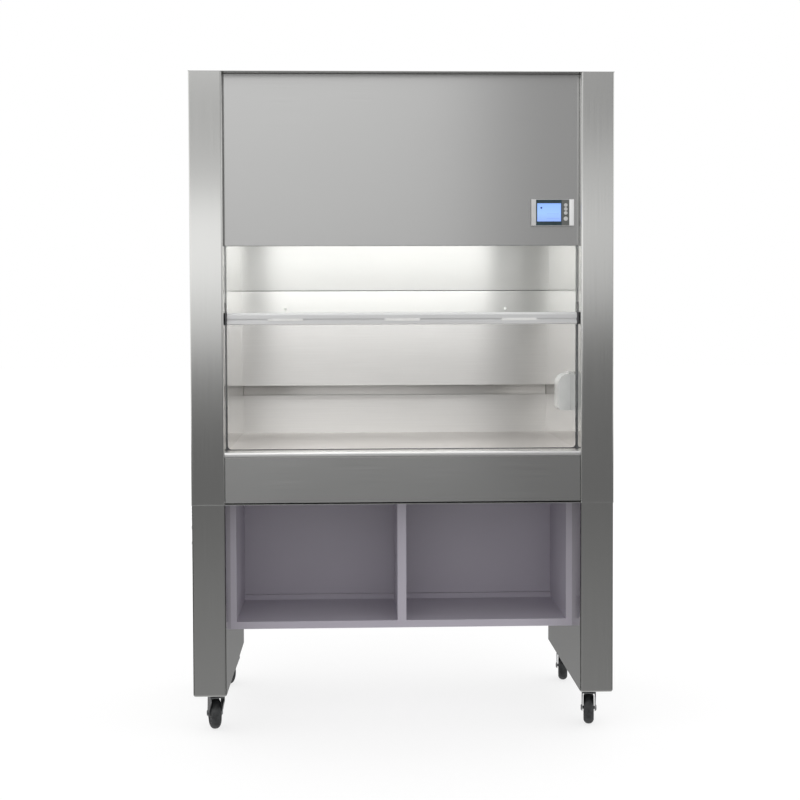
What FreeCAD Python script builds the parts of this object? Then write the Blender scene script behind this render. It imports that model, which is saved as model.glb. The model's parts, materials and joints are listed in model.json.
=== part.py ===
import FreeCAD, Part
import Sketcher
import math
import os

from FreeCAD import Placement, Rotation, Vector

# Ducted fume hood on a castor base. Millimetres, +Z up, origin on the floor under the middle of the
# cabinet. X runs to the right as a user faces the hood, Y runs away from the user.

doc = FreeCAD.newDocument("FumeHood")
sheet = doc.addObject("Spreadsheet::Sheet", "Sizes")

SIZES = [
    # Cabinet
    ("overall_width", 1300, "outside width of the cabinet"),
    ("overall_depth", 800, "outside depth of the cabinet"),
    ("cabinet_top", 2042, "floor to the top sheet"),
    ("cabinet_bottom", 719, "floor to the underside of the bottom sheet"),
    ("column_width", 102, "width of each front column"),
    ("sheet_wall", 1.5, "thickness of the folded steel sheet"),
    ("bend_radius", 6, "outside radius of the folds"),
    ("column_return", 56, "depth of the fold behind each column's inner edge"),
    ("rear_return", 60, "width of the fold at the back of each side shell"),
    ("panel_gap", 0.3, "assembly gap beside a fitted panel"),
    ("panel_recess", 40, "front panel behind the column fronts"),
    ("panel_bottom", 1513, "floor to the lower edge of the front panel"),
    ("panel_flange", 12, "depth of the folded rim of the front panel"),
    ("apron_recess", 8, "apron behind the column fronts"),
    ("apron_bottom", 724, "floor to the lower edge of the apron"),
    ("apron_top", 865, "floor to the upper edge of the apron"),
    ("apron_flange", 20, "depth of the folded rim of the apron"),
    ("sill_front", 4, "sill nose behind the column fronts"),
    ("sill_depth", 51, "depth of the sill"),
    ("sill_top", 879, "floor to the top of the sill"),
    ("sill_nose", 5.5, "radius of the sill's front edges"),
    # Chamber
    ("work_top", 878, "floor to the work surface"),
    ("work_thickness", 24, "thickness of the work surface"),
    ("liner_wall", 3, "thickness of the chamber liners and baffles"),
    ("liner_front", 91, "front edge of the side liners behind the column fronts"),
    ("ceiling_height", 1582, "floor to the chamber ceiling"),
    ("ceiling_front", 106, "front edge of the ceiling behind the column fronts"),
    ("baffle_depth", 685, "middle baffle behind the column fronts"),
    ("lower_baffle_depth", 745, "lower baffle behind the column fronts"),
    ("baffle_lean", 24, "how far the upper baffle leans forward at its top"),
    ("baffle_seam", 1385, "floor to the seam between upper and middle baffle"),
    ("baffle_seam_gap", 3, "open seam between upper and middle baffle"),
    ("slot_top", 1051, "floor to the top of the low exhaust slot"),
    ("slot_height", 38, "height of the low exhaust slot"),
    ("trim_width", 3, "width of the rubber edge trim round the foot of the opening"),
    ("trim_corner", 12, "corner radius of the edge trim"),
    # Lamp
    ("lamp_length", 640, "length of the lamp housing"),
    ("lamp_width", 90, "width of the lamp housing"),
    ("lamp_height", 46, "height of the lamp housing"),
    ("lamp_setback", 60, "lamp housing behind the ceiling's front edge"),
    ("lamp_rim", 10, "ceiling's overlap under the lamp housing's edges"),
    ("tube_radius", 13, "radius of the fluorescent tube"),
    ("tube_inset", 25, "lamp housing's ends to the fluorescent tube"),
    # Sash
    ("rail_bottom", 1270, "floor to the underside of the sash rail as shown"),
    ("rail_height", 38, "height of the sash rail"),
    ("rail_recess", 32, "sash rail behind the column fronts"),
    ("rail_depth", 36, "depth of the sash rail"),
    ("rail_groove", 6, "depth of the finger groove in the rail"),
    ("groove_low", 12, "rail underside to the bottom of the groove"),
    ("groove_height", 7.6, "height of the finger groove"),
    ("rail_crown", 7, "setback of the rail's sloping top edge"),
    ("rail_toe", 3.5, "chamfer of the rail's lower front edge"),
    ("sash_side_gap", 2, "sash end to the column's inner face"),
    ("end_cap", 6, "width of each dark end cap of the rail"),
    ("sash_height", 672, "height of the whole sash"),
    ("glass_wall", 6, "thickness of the sash glass"),
    ("glass_setback", 26, "glass behind the front of the rail"),
    ("glass_seat", 13, "depth of glass held inside the rail"),
    ("glass_clearance", 0.3, "play of the glass in its seat"),
    ("grip_length", 108, "length of each grip insert"),
    ("grip_pitch", 361, "spacing of the three grip inserts"),
    ("grip_proud", 1.2, "grip inserts proud of the rail"),
    # Guides and counterbalance
    ("track_wall", 2, "thickness of the guide channel"),
    ("track_space", 30, "clear width inside the guide channel"),
    ("track_inset", 18, "depth of the guide channel"),
    ("track_bottom", 854, "floor to the lower end of the guide channel"),
    ("track_top", 2018, "floor to the upper end of the guide channel"),
    ("shoe_play", 0.5, "play of the guide shoes in the channel"),
    ("shoe_height", 70, "height of the lower guide shoe"),
    ("top_shoe_height", 60, "height of the upper guide shoe"),
    ("top_shoe_drop", 10, "glass top to the top of the upper guide shoe"),
    ("top_shoe_clear", 10.5, "upper guide shoe in front of the cable's line"),
    ("cable_radius", 1.5, "radius of the sash cable"),
    ("cable_inset", 9, "cable behind the column's inner face line"),
    ("cable_setback", 78, "cable behind the column fronts"),
    ("pulley_pitch", 28, "radius of the cable's line round the pulley"),
    ("pulley_flange", 32, "outside radius of the pulley"),
    ("pulley_width", 12, "width of the pulley"),
    ("pulley_height", 1980, "floor to the pulley axle"),
    ("axle_radius", 4, "radius of the pulley axle"),
    ("axle_play", 0.05, "radial play on every axle and shaft"),
    ("cheek_wall", 2.5, "thickness of the pulley bracket's cheeks"),
    ("cheek_width", 24, "width of the pulley bracket's cheeks"),
    ("cheek_play", 1, "side play of the pulley between its cheeks"),
    ("pulley_relief", 2, "clearance above and below the pulley in the guide channel"),
    ("weight_width", 40, "counterweight across"),
    ("weight_depth", 44, "counterweight front to back"),
    ("weight_length", 520, "counterweight length"),
    ("weight_top", 1518, "floor to the top of the counterweight as shown"),
    ("weight_chamfer", 3, "chamfer of the counterweight's edges"),
    # Blower and duct
    ("scroll_radius", 145, "smallest radius of the blower's scroll"),
    ("scroll_step", 20, "growth of the scroll at each quarter turn"),
    ("scroll_width", 170, "width of the blower's scroll"),
    ("scroll_wall", 2, "wall of the blower's scroll"),
    ("blower_height", 1812, "floor to the blower's shaft"),
    ("foot_drop", 66, "blower's shaft to the top of its feet"),
    ("foot_half", 72.5, "half width of the blower's feet"),
    ("blower_setback", 420, "blower's shaft behind the column fronts"),
    ("inlet_radius", 98, "radius of the blower's inlet ring"),
    ("inlet_lip", 12, "length of the inlet ring"),
    ("impeller_radius", 122, "outside radius of the impeller"),
    ("blade_inner", 100, "inside radius of the blade ring"),
    ("blade_curve", 22, "radius of each blade's curve"),
    ("blade_wall", 2, "thickness of each blade"),
    ("blade_count", 24, "number of blades"),
    ("impeller_width", 124, "width of the impeller"),
    ("impeller_plate", 3, "thickness of the impeller's plates"),
    ("impeller_gap", 4, "impeller's back plate to the scroll's wall"),
    ("hub_radius", 20, "radius of the impeller's hub"),
    ("hub_length", 44, "length of the impeller's hub"),
    ("hub_clearance", 2, "opening in the scroll round the hub"),
    ("shaft_radius", 8, "radius of the motor shaft"),
    ("motor_radius", 62, "radius of the motor"),
    ("motor_length", 120, "length of the motor"),
    ("motor_rib", 3, "height of the cooling ribs"),
    ("motor_rib_wall", 6, "thickness of each cooling rib"),
    ("motor_rib_pitch", 20, "spacing of the cooling ribs"),
    ("motor_chamfer", 10, "chamfer of the motor's free end"),
    ("shaft_depth", 60, "depth of the motor's bore for its shaft"),
    ("shaft_end_play", 1, "shaft's end to the bottom of the motor's bore"),
    ("foot_wall", 5, "thickness of the blower's feet"),
    ("collar_radius", 125, "outside radius of the duct collar"),
    ("collar_wall", 1.5, "wall of the duct collar"),
    ("collar_height", 62, "height of the duct collar"),
    ("collar_flange", 28, "width of the collar's flange"),
    ("collar_bead", 2.5, "height of the collar's stiffening bead"),
    ("bead_rise", 12.4, "collar's foot to its stiffening bead"),
    # Controls
    ("control_right", 18, "controller's right end to the column's inner face"),
    ("control_width", 132, "width of the controller"),
    ("control_height", 81, "height of the controller"),
    ("control_bottom", 1574, "floor to the lower edge of the controller"),
    ("control_proud", 12, "controller proud of the front panel"),
    ("control_corner", 4, "corner radius of the controller"),
    ("control_edge", 1, "rounding of the controller's front edges"),
    ("control_back", 14, "depth of the controller behind the panel's face"),
    ("control_rim", 9, "controller's face beyond its aperture"),
    ("screen_left", 18, "controller's left end to the screen"),
    ("screen_width", 74, "width of the screen"),
    ("screen_height", 56, "height of the screen"),
    ("screen_bottom", 13, "controller's lower edge to the screen"),
    ("screen_wall", 2, "thickness of the screen"),
    ("screen_sunk", 0.6, "screen below the controller's face"),
    ("button_line", 25.5, "button centres to the controller's right end"),
    ("button_radius", 5.2, "radius of the three small buttons"),
    ("start_radius", 6.4, "radius of the large button"),
    ("button_play", 0.25, "radial play of the buttons"),
    ("button_length", 9, "length of the buttons"),
    ("button_proud", 2, "buttons proud of the controller's face"),
    ("button_edge", 0.5, "chamfer of the buttons' front edges"),
    ("button_travel", 1.2, "travel of the buttons"),
    ("start_height", 21.5, "controller's lower edge to the large button"),
    ("button_first", 39, "controller's lower edge to the first small button"),
    ("button_pitch", 12.2, "spacing of the small buttons"),
    # Socket
    ("socket_front", 94, "socket box behind the column fronts"),
    ("socket_width", 86, "socket box front to back"),
    ("socket_bottom", 998, "floor to the lower edge of the socket box"),
    ("socket_height", 115, "height of the socket box"),
    ("socket_base", 14, "depth of the socket's base"),
    ("socket_plate", 2.5, "thickness of the socket's insert"),
    ("socket_margin", 9, "socket insert inside the base's edge"),
    ("lid_depth", 38, "depth of the socket's lid"),
    ("lid_wall", 2.5, "wall of the socket's lid"),
    ("lid_top_radius", 32, "large corner radius of the lid"),
    ("lid_low_radius", 12, "small corner radius of the lid"),
    ("lid_gap", 0.4, "gap between lid and base"),
    ("lid_hinge_radius", 3, "radius of the lid's hinge barrel"),
    ("lid_ear", 21.5, "length of each hinge ear"),
    ("lid_ear_wall", 6, "thickness of each hinge ear"),
    ("lid_strap", 5, "thickness of the strap between lid and hinge barrel"),
    ("pin_hole", 2.5, "radius of the socket's pin holes"),
    ("pin_depth", 10, "depth of the pin holes in the socket's base"),
    ("pin_spacing", 19, "spacing of the socket's two lower pin holes"),
    ("pin_drop", 7.6, "lower pin holes below the insert's middle"),
    ("pin_rise", 11.4, "upper pin hole above the insert's middle"),
    # Drain
    ("hose_radius", 9.5, "outside radius of the drain hose"),
    ("hose_rib", 1.6, "depth of the hose's corrugations"),
    ("hose_pitch", 11, "spacing of the corrugations"),
    ("hose_ribs", 21, "number of corrugations"),
    ("hose_off_side", 1.5, "hose clear of the cabinet's side"),
    ("hose_setback", 210, "hose behind the column fronts"),
    ("hose_top", 874, "floor to the top of the hose"),
    ("pipe_radius", 8, "radius of the drain pipe"),
    ("pipe_wall", 2, "wall of the drain pipe and hose"),
    ("pipe_length", 84, "length of the drain pipe"),
    ("clip_first", 8.4, "pipe's lower end to its lower clip"),
    ("clip_spacing", 50.4, "spacing of the pipe's two clips"),
    ("clip_height", 8, "height of each pipe clip"),
    ("fitting_length", 38, "length of the white end fitting"),
    ("fitting_radius", 9.8, "radius of the white end fitting"),
    # Base
    ("base_bottom", 127, "floor to the underside of the base's side panels"),
    ("base_depth", 700, "depth of the base's side panels"),
    ("base_width", 103, "width of the base's side panels"),
    ("base_inset", 1, "base panels inside the cabinet's side"),
    ("base_corner", 8, "radius of the base panels' upright edges"),
    ("base_foot_radius", 7, "radius of the base panels' lower edges"),
    ("store_front", 160, "storage box behind the column fronts"),
    ("store_depth", 358, "depth of the storage box"),
    ("store_bottom", 301, "floor to the underside of the storage box"),
    ("store_board", 19, "thickness of the storage box's side boards"),
    ("store_floor", 23, "thickness of the storage box's floor"),
    ("store_step_height", 17, "height of the step at the back of the floor"),
    ("store_step_depth", 16, "depth of the step at the back of the floor"),
    ("store_divider", 28, "thickness of the middle board"),
    ("store_back", 3, "thickness of the storage box's back"),
    # Castors
    ("castor_line", 586, "castor centres to the middle of the hood"),
    ("castor_front", 75, "front castors behind the column fronts"),
    ("castor_rear", 610, "rear castors behind the column fronts"),
    ("castor_plate", 70, "side of the castor's fixing plate"),
    ("castor_plate_wall", 3, "thickness of the castor's fixing plate"),
    ("race_radius", 24, "radius of the castor's swivel race"),
    ("race_height", 9, "height of the castor's swivel race"),
    ("fork_gap", 0.5, "gap between race and fork"),
    ("fork_wall", 3, "thickness of the castor's fork"),
    ("fork_space", 38, "clear width inside the fork"),
    ("fork_trail", 32, "wheel axle behind the swivel's axis"),
    ("fork_crown", 34, "half length of the fork's crown"),
    ("fork_skirt", 12, "depth of the fork's crown before its legs taper"),
    ("fork_nose", 10, "half width of the fork's legs at the axle"),
    ("kingpin_radius", 6, "radius of the swivel's pin"),
    ("kingpin_reach", 6, "swivel's pin below the top of the fork"),
    ("wheel_radius", 50, "radius of the castor's wheel"),
    ("wheel_width", 32, "width of the castor's wheel"),
    ("tyre_round", 10, "rounding of the wheel's tread"),
    ("wheel_web", 5, "depth of the recess in the wheel's sides"),
    ("wheel_hub", 15, "radius of the wheel's hub"),
    ("wheel_rim", 38, "inside radius of the wheel's tread band"),
    ("castor_axle", 5, "radius of the wheel's axle"),
]


class Measure:
    """A length that knows both its value and its formula in the sheet."""

    def __init__(self, value, text):
        self.value = float(value)
        self.text = text

    def __add__(self, other):
        other = measure(other)
        return Measure(self.value + other.value, f"({self.text} + {other.text})")

    def __radd__(self, other):
        return measure(other) + self

    def __sub__(self, other):
        other = measure(other)
        return Measure(self.value - other.value, f"({self.text} - {other.text})")

    def __rsub__(self, other):
        return measure(other) - self

    def __mul__(self, other):
        other = measure(other)
        return Measure(self.value * other.value, f"({self.text} * {other.text})")

    __rmul__ = __mul__

    def __truediv__(self, other):
        other = measure(other)
        return Measure(self.value / other.value, f"({self.text} / {other.text})")

    def __neg__(self):
        return Measure(-self.value, f"(0 - {self.text})")


def measure(item):
    return item if isinstance(item, Measure) else Measure(item, repr(float(item)))


class Sizes:
    """The cells of the sheet, by name."""


size = Sizes()
for row, (alias, number, note) in enumerate(SIZES, 1):
    sheet.set(f"A{row}", note)
    sheet.set(f"B{row}", str(number))
    sheet.setAlias(f"B{row}", alias)
    setattr(size, alias, Measure(number, f"Sizes.{alias}"))
doc.recompute()

kept = []


def keep(obj, label):
    """Marks an object as one of the hood's own pieces."""
    obj.Label = label
    kept.append(obj)
    return obj


def bind(obj, prop, length):
    obj.setExpression(prop, measure(length).text)


def place(obj, at, rotation=None):
    obj.Placement = Placement(Vector(*(measure(v).value for v in at)), rotation or Rotation())
    for axis, length in zip("xyz", at):
        bind(obj, f"Placement.Base.{axis}", length)
    return obj


TURN = {"X": Rotation(Vector(0, 1, 0), 90), "Y": Rotation(Vector(1, 0, 0), -90), "Z": Rotation()}


def box(name, low, high):
    """A block between two corners."""
    obj = doc.addObject("Part::Box", name)
    for prop, start, end in zip(("Length", "Width", "Height"), low, high):
        bind(obj, prop, measure(end) - start)
    return place(obj, low)


def cylinder(name, at, radius, length, axis="Z", turn=None):
    obj = doc.addObject("Part::Cylinder", name)
    bind(obj, "Radius", radius)
    bind(obj, "Height", length)
    return place(obj, at, turn or TURN[axis])


def fuse(name, *shapes):
    obj = doc.addObject("Part::MultiFuse", name)
    obj.Shapes = list(shapes)
    obj.Refine = True
    return obj


def cut(name, base, *tools):
    obj = doc.addObject("Part::Cut", name)
    obj.Base = base
    obj.Tool = tools[0] if len(tools) == 1 else fuse(name + "_tools", *tools)
    obj.Refine = True
    return obj


def group(name, *shapes):
    obj = doc.addObject("Part::Compound", name)
    obj.Links = list(shapes)
    return obj


def mirror(name, source):
    """The same piece on the other side of the hood."""
    obj = doc.addObject("Part::Mirroring", name)
    obj.Source = source
    obj.Normal = Vector(1, 0, 0)
    return obj


def new_body(name):
    return doc.addObject("PartDesign::Body", name)


def new_sketch(body, plane, offset=None):
    sketch = body.newObject("Sketcher::SketchObject", body.Name + "_sketch")
    feature = next(f for f in body.Origin.OriginFeatures if f.Role == plane)
    sketch.AttachmentSupport = [(feature, "")]
    sketch.MapMode = "FlatFace"
    if offset is not None:
        bind(sketch, "AttachmentOffset.Base.z", offset)
    return sketch


def hold(sketch, constraint, length):
    """Adds a dimension that follows the sheet."""
    index = sketch.addConstraint(constraint)
    bind(sketch, f"Constraints[{index}]", length)


def pin_point(sketch, geometry, end, across, up):
    across, up = measure(across), measure(up)
    hold(sketch, Sketcher.Constraint("DistanceX", -1, 1, geometry, end, across.value), across)
    hold(sketch, Sketcher.Constraint("DistanceY", -1, 1, geometry, end, up.value), up)


def polygon(sketch, corners):
    first = sketch.GeometryCount
    points = [Vector(measure(u).value, measure(v).value, 0) for u, v in corners]
    count = len(points)
    for i in range(count):
        sketch.addGeometry(Part.LineSegment(points[i], points[(i + 1) % count]), False)
    for i in range(count):
        ends = (first + i, 2, first + (i + 1) % count, 1)
        sketch.addConstraint(Sketcher.Constraint("Coincident", *ends))
    for i, (across, up) in enumerate(corners):
        pin_point(sketch, first + i, 1, across, up)


def circle(sketch, across, up, radius):
    centre = Vector(measure(across).value, measure(up).value, 0)
    shape = Part.Circle(centre, Vector(0, 0, 1), measure(radius).value)
    index = sketch.addGeometry(shape, False)
    pin_point(sketch, index, 3, across, up)
    hold(sketch, Sketcher.Constraint("Radius", index, measure(radius).value), radius)


def pad(body, sketch, length, reverse=False, middle=False):
    feature = body.newObject("PartDesign::Pad", body.Name + "_pad")
    feature.Profile = sketch
    bind(feature, "Length", length)
    feature.Reversed = reverse
    feature.Midplane = middle
    sketch.Visibility = False
    return feature


def revolve(body, sketch):
    feature = body.newObject("PartDesign::Revolution", body.Name + "_turn")
    feature.Profile = sketch
    feature.ReferenceAxis = (sketch, ["V_Axis"])
    feature.Angle = 360
    return feature


def edges_where(shape, chosen):
    names = []
    for index, edge in enumerate(shape.Edges, 1):
        middle = edge.valueAt((edge.FirstParameter + edge.LastParameter) / 2)
        if chosen(edge, middle):
            names.append(f"Edge{index}")
    return names


def same(one, other):
    return abs(one - other) < 0.01


def runs_along(edge, axis):
    if len(edge.Vertexes) != 2 or edge.Curve.TypeId != "Part::GeomLine":
        return False
    step = edge.Vertexes[1].Point - edge.Vertexes[0].Point
    return same(abs(step[axis]), step.Length)


def dress(body, kind, radius, chosen):
    """Rounds or chamfers the chosen edges of a body's last feature."""
    doc.recompute()
    base = body.Tip
    feature = body.newObject(f"PartDesign::{kind}", body.Name + "_edge")
    feature.Base = (base, edges_where(base.Shape, chosen))
    bind(feature, "Radius" if kind == "Fillet" else "Size", radius)
    doc.recompute()
    return feature


# How far a cutting form runs past the face that it opens
over = 1

# Shared lines of the cabinet
front = -size.overall_depth / 2
rear = size.overall_depth / 2
half = size.overall_width / 2
inner = half - size.column_width
wall = size.sheet_wall
shell_bottom = size.cabinet_bottom + wall
shell_top = size.cabinet_top - wall
fitted = inner - size.panel_gap
chamber_half = inner - size.liner_wall


def side_shell():
    """Folded outer skin: column front, side and rear return in one sheet."""
    body = new_body("side_shell")
    place(body, (0, 0, shell_bottom))
    sketch = new_sketch(body, "XY_Plane")
    polygon(sketch, [
        (-inner, front + size.column_return),
        (-inner, front),
        (-half, front),
        (-half, rear),
        (-half + size.rear_return, rear),
        (-half + size.rear_return, rear - wall),
        (-half + wall, rear - wall),
        (-half + wall, front + wall),
        (-inner - wall, front + wall),
        (-inner - wall, front + size.column_return),
    ])
    pad(body, sketch, shell_top - shell_bottom)
    outside = (-half).value, (-inner).value, front.value, rear.value

    def outer_fold(edge, middle):
        at_side = same(middle.x, outside[0]) or same(middle.x, outside[1])
        at_end = same(middle.y, outside[2]) or same(middle.y, outside[3])
        return runs_along(edge, 2) and at_side and at_end

    dress(body, "Fillet", size.bend_radius, outer_fold)
    inside = (-half + wall).value, (-inner - wall).value, (front + wall).value, (rear - wall).value

    def inner_fold(edge, middle):
        at_side = same(middle.x, inside[0]) or same(middle.x, inside[1])
        at_end = same(middle.y, inside[2]) or same(middle.y, inside[3])
        return runs_along(edge, 2) and at_side and at_end

    dress(body, "Fillet", size.bend_radius - wall, inner_fold)
    return body


def tray(name, low, high, radius):
    """A front panel folded back on all four edges, open at the rear."""
    body = new_body(name)
    place(body, (low[0], low[1], low[2]))
    sketch = new_sketch(body, "XZ_Plane")
    width = measure(high[0]) - low[0]
    height = measure(high[2]) - low[2]
    depth = measure(high[1]) - low[1]
    polygon(sketch, [(0, 0), (width, 0), (width, height), (0, height)])
    pad(body, sketch, depth, reverse=True)
    dress(body, "Fillet", radius, lambda edge, middle: same(middle.y, 0))
    hollow = box(
        name + "_hollow",
        (low[0] + wall, low[1] + wall, low[2] + wall),
        (high[0] - wall, high[1] + over, high[2] - wall),
    )
    return body, hollow


left_shell = keep(side_shell(), "left_side_shell")
keep(mirror("right_side_shell", left_shell), "right_side_shell")

bottom_sheet = box("bottom_panel", (-half, front, size.cabinet_bottom), (half, rear, shell_bottom))
keep(bottom_sheet, "bottom_panel")

# The top sheet lies on the shells and opens into the duct collar.
collar_y = front + size.blower_setback + (size.scroll_radius + size.scroll_step * 3) / 2
collar_bore = size.collar_radius - size.collar_wall
top_sheet = box("top_sheet", (-half, front, shell_top), (half, rear, size.cabinet_top))
top_hole = cylinder("top_hole", (0, collar_y, shell_top - over), collar_bore, wall + over * 2)
keep(cut("top_panel", top_sheet, top_hole), "top_panel")

rear_half = half - size.rear_return - size.panel_gap
rear_sheet = box("rear_panel", (-rear_half, rear - wall, shell_bottom), (rear_half, rear, shell_top))
keep(rear_sheet, "rear_panel")

# Front panel with the aperture that the controller's body passes through
panel_face = front + size.panel_recess
control_high = inner - size.control_right
control_low = control_high - size.control_width
aperture_low = control_low + size.control_rim
aperture_high = control_high - size.control_rim
aperture_floor = size.control_bottom + size.control_rim
aperture_roof = size.control_bottom + size.control_height - size.control_rim
panel_body, panel_hollow = tray(
    "front_tray",
    (-fitted, panel_face, size.panel_bottom),
    (fitted, panel_face + size.panel_flange, shell_top - size.panel_gap),
    wall,
)
aperture = box(
    "aperture",
    (aperture_low, panel_face - over, aperture_floor),
    (aperture_high, panel_face + wall + over, aperture_roof),
)
keep(cut("front_panel", panel_body, panel_hollow, aperture), "front_panel")

apron_face = front + size.apron_recess
apron_body, apron_hollow = tray(
    "apron_tray",
    (-fitted, apron_face, size.apron_bottom),
    (fitted, apron_face + size.apron_flange, size.apron_top),
    wall,
)
keep(cut("apron_panel", apron_body, apron_hollow), "apron_panel")


def front_sill():
    """Bullnosed sill that the closed sash comes down on."""
    body = new_body("front_sill")
    place(body, (-fitted, 0, 0))
    sketch = new_sketch(body, "YZ_Plane")
    nose = front + size.sill_front
    back = nose + size.sill_depth
    polygon(sketch, [
        (nose, size.apron_top),
        (back, size.apron_top),
        (back, size.sill_top),
        (nose, size.sill_top),
    ])
    pad(body, sketch, fitted * 2)
    dress(body, "Fillet", size.sill_nose, lambda edge, middle: (
        runs_along(edge, 0) and same(middle.y, nose.value)
    ))
    return body


keep(front_sill(), "front_sill")

# Chamber
work_front = front + size.sill_front + size.sill_depth
lower_baffle_y = front + size.lower_baffle_depth
work_floor = size.work_top - size.work_thickness
work_slab = box(
    "work_slab",
    (-chamber_half, work_front, work_floor),
    (chamber_half, lower_baffle_y, size.work_top),
)
keep(work_slab, "work_surface")

liner_y = front + size.liner_front
left_liner = box(
    "left_liner",
    (-inner, liner_y, work_floor),
    (-chamber_half, rear - wall, size.ceiling_height + size.liner_wall),
)
keep(group("side_liners", left_liner, mirror("right_liner", left_liner)), "side_liners")

baffle_y = front + size.baffle_depth
keep(box(
    "lower_baffle",
    (-chamber_half, lower_baffle_y, work_floor),
    (chamber_half, lower_baffle_y + size.liner_wall, size.slot_top - size.slot_height),
), "lower_baffle")
keep(box(
    "middle_baffle",
    (-chamber_half, baffle_y, size.slot_top),
    (chamber_half, baffle_y + size.liner_wall, size.baffle_seam),
), "middle_baffle")


def upper_baffle():
    """The top baffle leans forward, towards the lamp."""
    body = new_body("upper_baffle")
    place(body, (-chamber_half, 0, 0))
    sketch = new_sketch(body, "YZ_Plane")
    low = size.baffle_seam + size.baffle_seam_gap
    high = size.ceiling_height
    polygon(sketch, [
        (baffle_y, low),
        (baffle_y + size.liner_wall, low),
        (baffle_y + size.liner_wall - size.baffle_lean, high),
        (baffle_y - size.baffle_lean, high),
    ])
    pad(body, sketch, chamber_half * 2)
    return body


keep(upper_baffle(), "upper_baffle")

# Ceiling with the lamp's window
ceiling_y = front + size.ceiling_front
lamp_y = ceiling_y + size.lamp_setback
ceiling_top = size.ceiling_height + size.liner_wall
ceiling_sheet = box(
    "ceiling_sheet",
    (-chamber_half, ceiling_y, size.ceiling_height),
    (chamber_half, baffle_y - size.baffle_lean + size.liner_wall, ceiling_top),
)
lamp_window = box(
    "lamp_window",
    (-size.lamp_length / 2 + size.lamp_rim, lamp_y + size.lamp_rim, size.ceiling_height - over),
    (
        size.lamp_length / 2 - size.lamp_rim,
        lamp_y + size.lamp_width - size.lamp_rim,
        ceiling_top + over,
    ),
)
keep(cut("chamber_ceiling", ceiling_sheet, lamp_window), "chamber_ceiling")

lamp_box = box(
    "lamp_box",
    (-size.lamp_length / 2, lamp_y, ceiling_top),
    (size.lamp_length / 2, lamp_y + size.lamp_width, ceiling_top + size.lamp_height),
)
lamp_inner = size.lamp_length / 2 - wall * 2
lamp_roof = ceiling_top + size.lamp_height - wall
lamp_hollow = box(
    "lamp_hollow",
    (-lamp_inner, lamp_y + wall, ceiling_top - over),
    (lamp_inner, lamp_y + size.lamp_width - wall, lamp_roof),
)
lamp_shell = cut("lamp_shell", lamp_box, lamp_hollow)
tube_y = lamp_y + size.lamp_width / 2
tube_z = ceiling_top + size.lamp_height / 2
tube_half = size.lamp_length / 2 - size.tube_inset
holder_reach = lamp_inner - tube_half
lamp_holders = [
    box(
        f"lamp_holder_{side}",
        (start, tube_y - size.tube_radius, tube_z - size.tube_radius),
        (start + holder_reach, tube_y + size.tube_radius, lamp_roof),
    )
    for side, start in (("left", -lamp_inner), ("right", tube_half))
]
keep(fuse("lamp_housing", lamp_shell, *lamp_holders), "lamp_housing")
keep(cylinder(
    "lamp_tube", (-tube_half, tube_y, tube_z), size.tube_radius, tube_half * 2, "X"
), "lamp_tube")


def opening_trim():
    """Rubber trim in one U: along the sill and up the liners' front edges to the exhaust slot."""
    body = new_body("opening_trim")
    place(body, (0, liner_y, 0))
    sketch = new_sketch(body, "XZ_Plane")
    low = size.sill_top
    high = size.slot_top - size.slot_height
    polygon(sketch, [
        (-inner, high),
        (-inner, low),
        (inner, low),
        (inner, high),
        (inner - size.trim_width, high),
        (inner - size.trim_width, low + size.trim_width),
        (-inner + size.trim_width, low + size.trim_width),
        (-inner + size.trim_width, high),
    ])
    pad(body, sketch, size.trim_width)
    inside = (inner - size.trim_width).value
    floor = (low + size.trim_width).value
    dress(body, "Fillet", size.trim_corner, lambda edge, middle: (
        runs_along(edge, 1) and same(abs(middle.x), inside) and same(middle.z, floor)
    ))
    return body


keep(opening_trim(), "opening_trim")

# Sash: an extruded rail with a finger groove, the glass standing in its slot, grips and guide shoes
rail_y = front + size.rail_recess
rail_back = rail_y + size.rail_depth
sash_half = inner - size.sash_side_gap
rail_half = sash_half - size.end_cap
glass_y = rail_y + size.glass_setback
glass_bottom = size.rail_bottom + size.rail_height - size.glass_seat
sash_top = size.rail_bottom + size.sash_height
groove_low = size.rail_bottom + size.groove_low
groove_high = groove_low + size.groove_height
rail_top = size.rail_bottom + size.rail_height
slot_front = glass_y - size.glass_clearance
slot_back = glass_y + size.glass_wall + size.glass_clearance
slot_floor = glass_bottom - size.glass_clearance


def sash_rail():
    body = new_body("sash_rail")
    place(body, (-rail_half, 0, 0))
    sketch = new_sketch(body, "YZ_Plane")
    polygon(sketch, [
        (rail_y + size.rail_toe, size.rail_bottom),
        (rail_back, size.rail_bottom),
        (rail_back, rail_top),
        (slot_back, rail_top),
        (slot_back, slot_floor),
        (slot_front, slot_floor),
        (slot_front, rail_top),
        (rail_y + size.rail_crown, rail_top),
        (rail_y, rail_top - size.rail_crown),
        (rail_y, groove_high),
        (rail_y + size.rail_groove, groove_high),
        (rail_y + size.rail_groove, groove_low),
        (rail_y, groove_low),
        (rail_y, size.rail_bottom + size.rail_toe),
    ])
    pad(body, sketch, rail_half * 2)
    return body


keep(sash_rail(), "sash_rail")

glass_half = sash_half - size.glass_clearance * 2
glass_pane = box(
    "glass_pane",
    (-rail_half + size.glass_clearance, glass_y, glass_bottom),
    (rail_half - size.glass_clearance, glass_y + size.glass_wall, rail_top),
)
glass_above = box(
    "glass_above",
    (-glass_half, glass_y, rail_top),
    (glass_half, glass_y + size.glass_wall, sash_top),
)
keep(fuse("sash_glass", glass_pane, glass_above), "sash_glass")

grips = [
    box(
        f"grip_{index}",
        (size.grip_pitch * index - size.grip_length / 2, rail_y - size.grip_proud, groove_low),
        (size.grip_pitch * index + size.grip_length / 2, rail_y + size.rail_groove, groove_high),
    )
    for index in (-1, 0, 1)
]
keep(group("sash_grips", *grips), "sash_grips")

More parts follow.
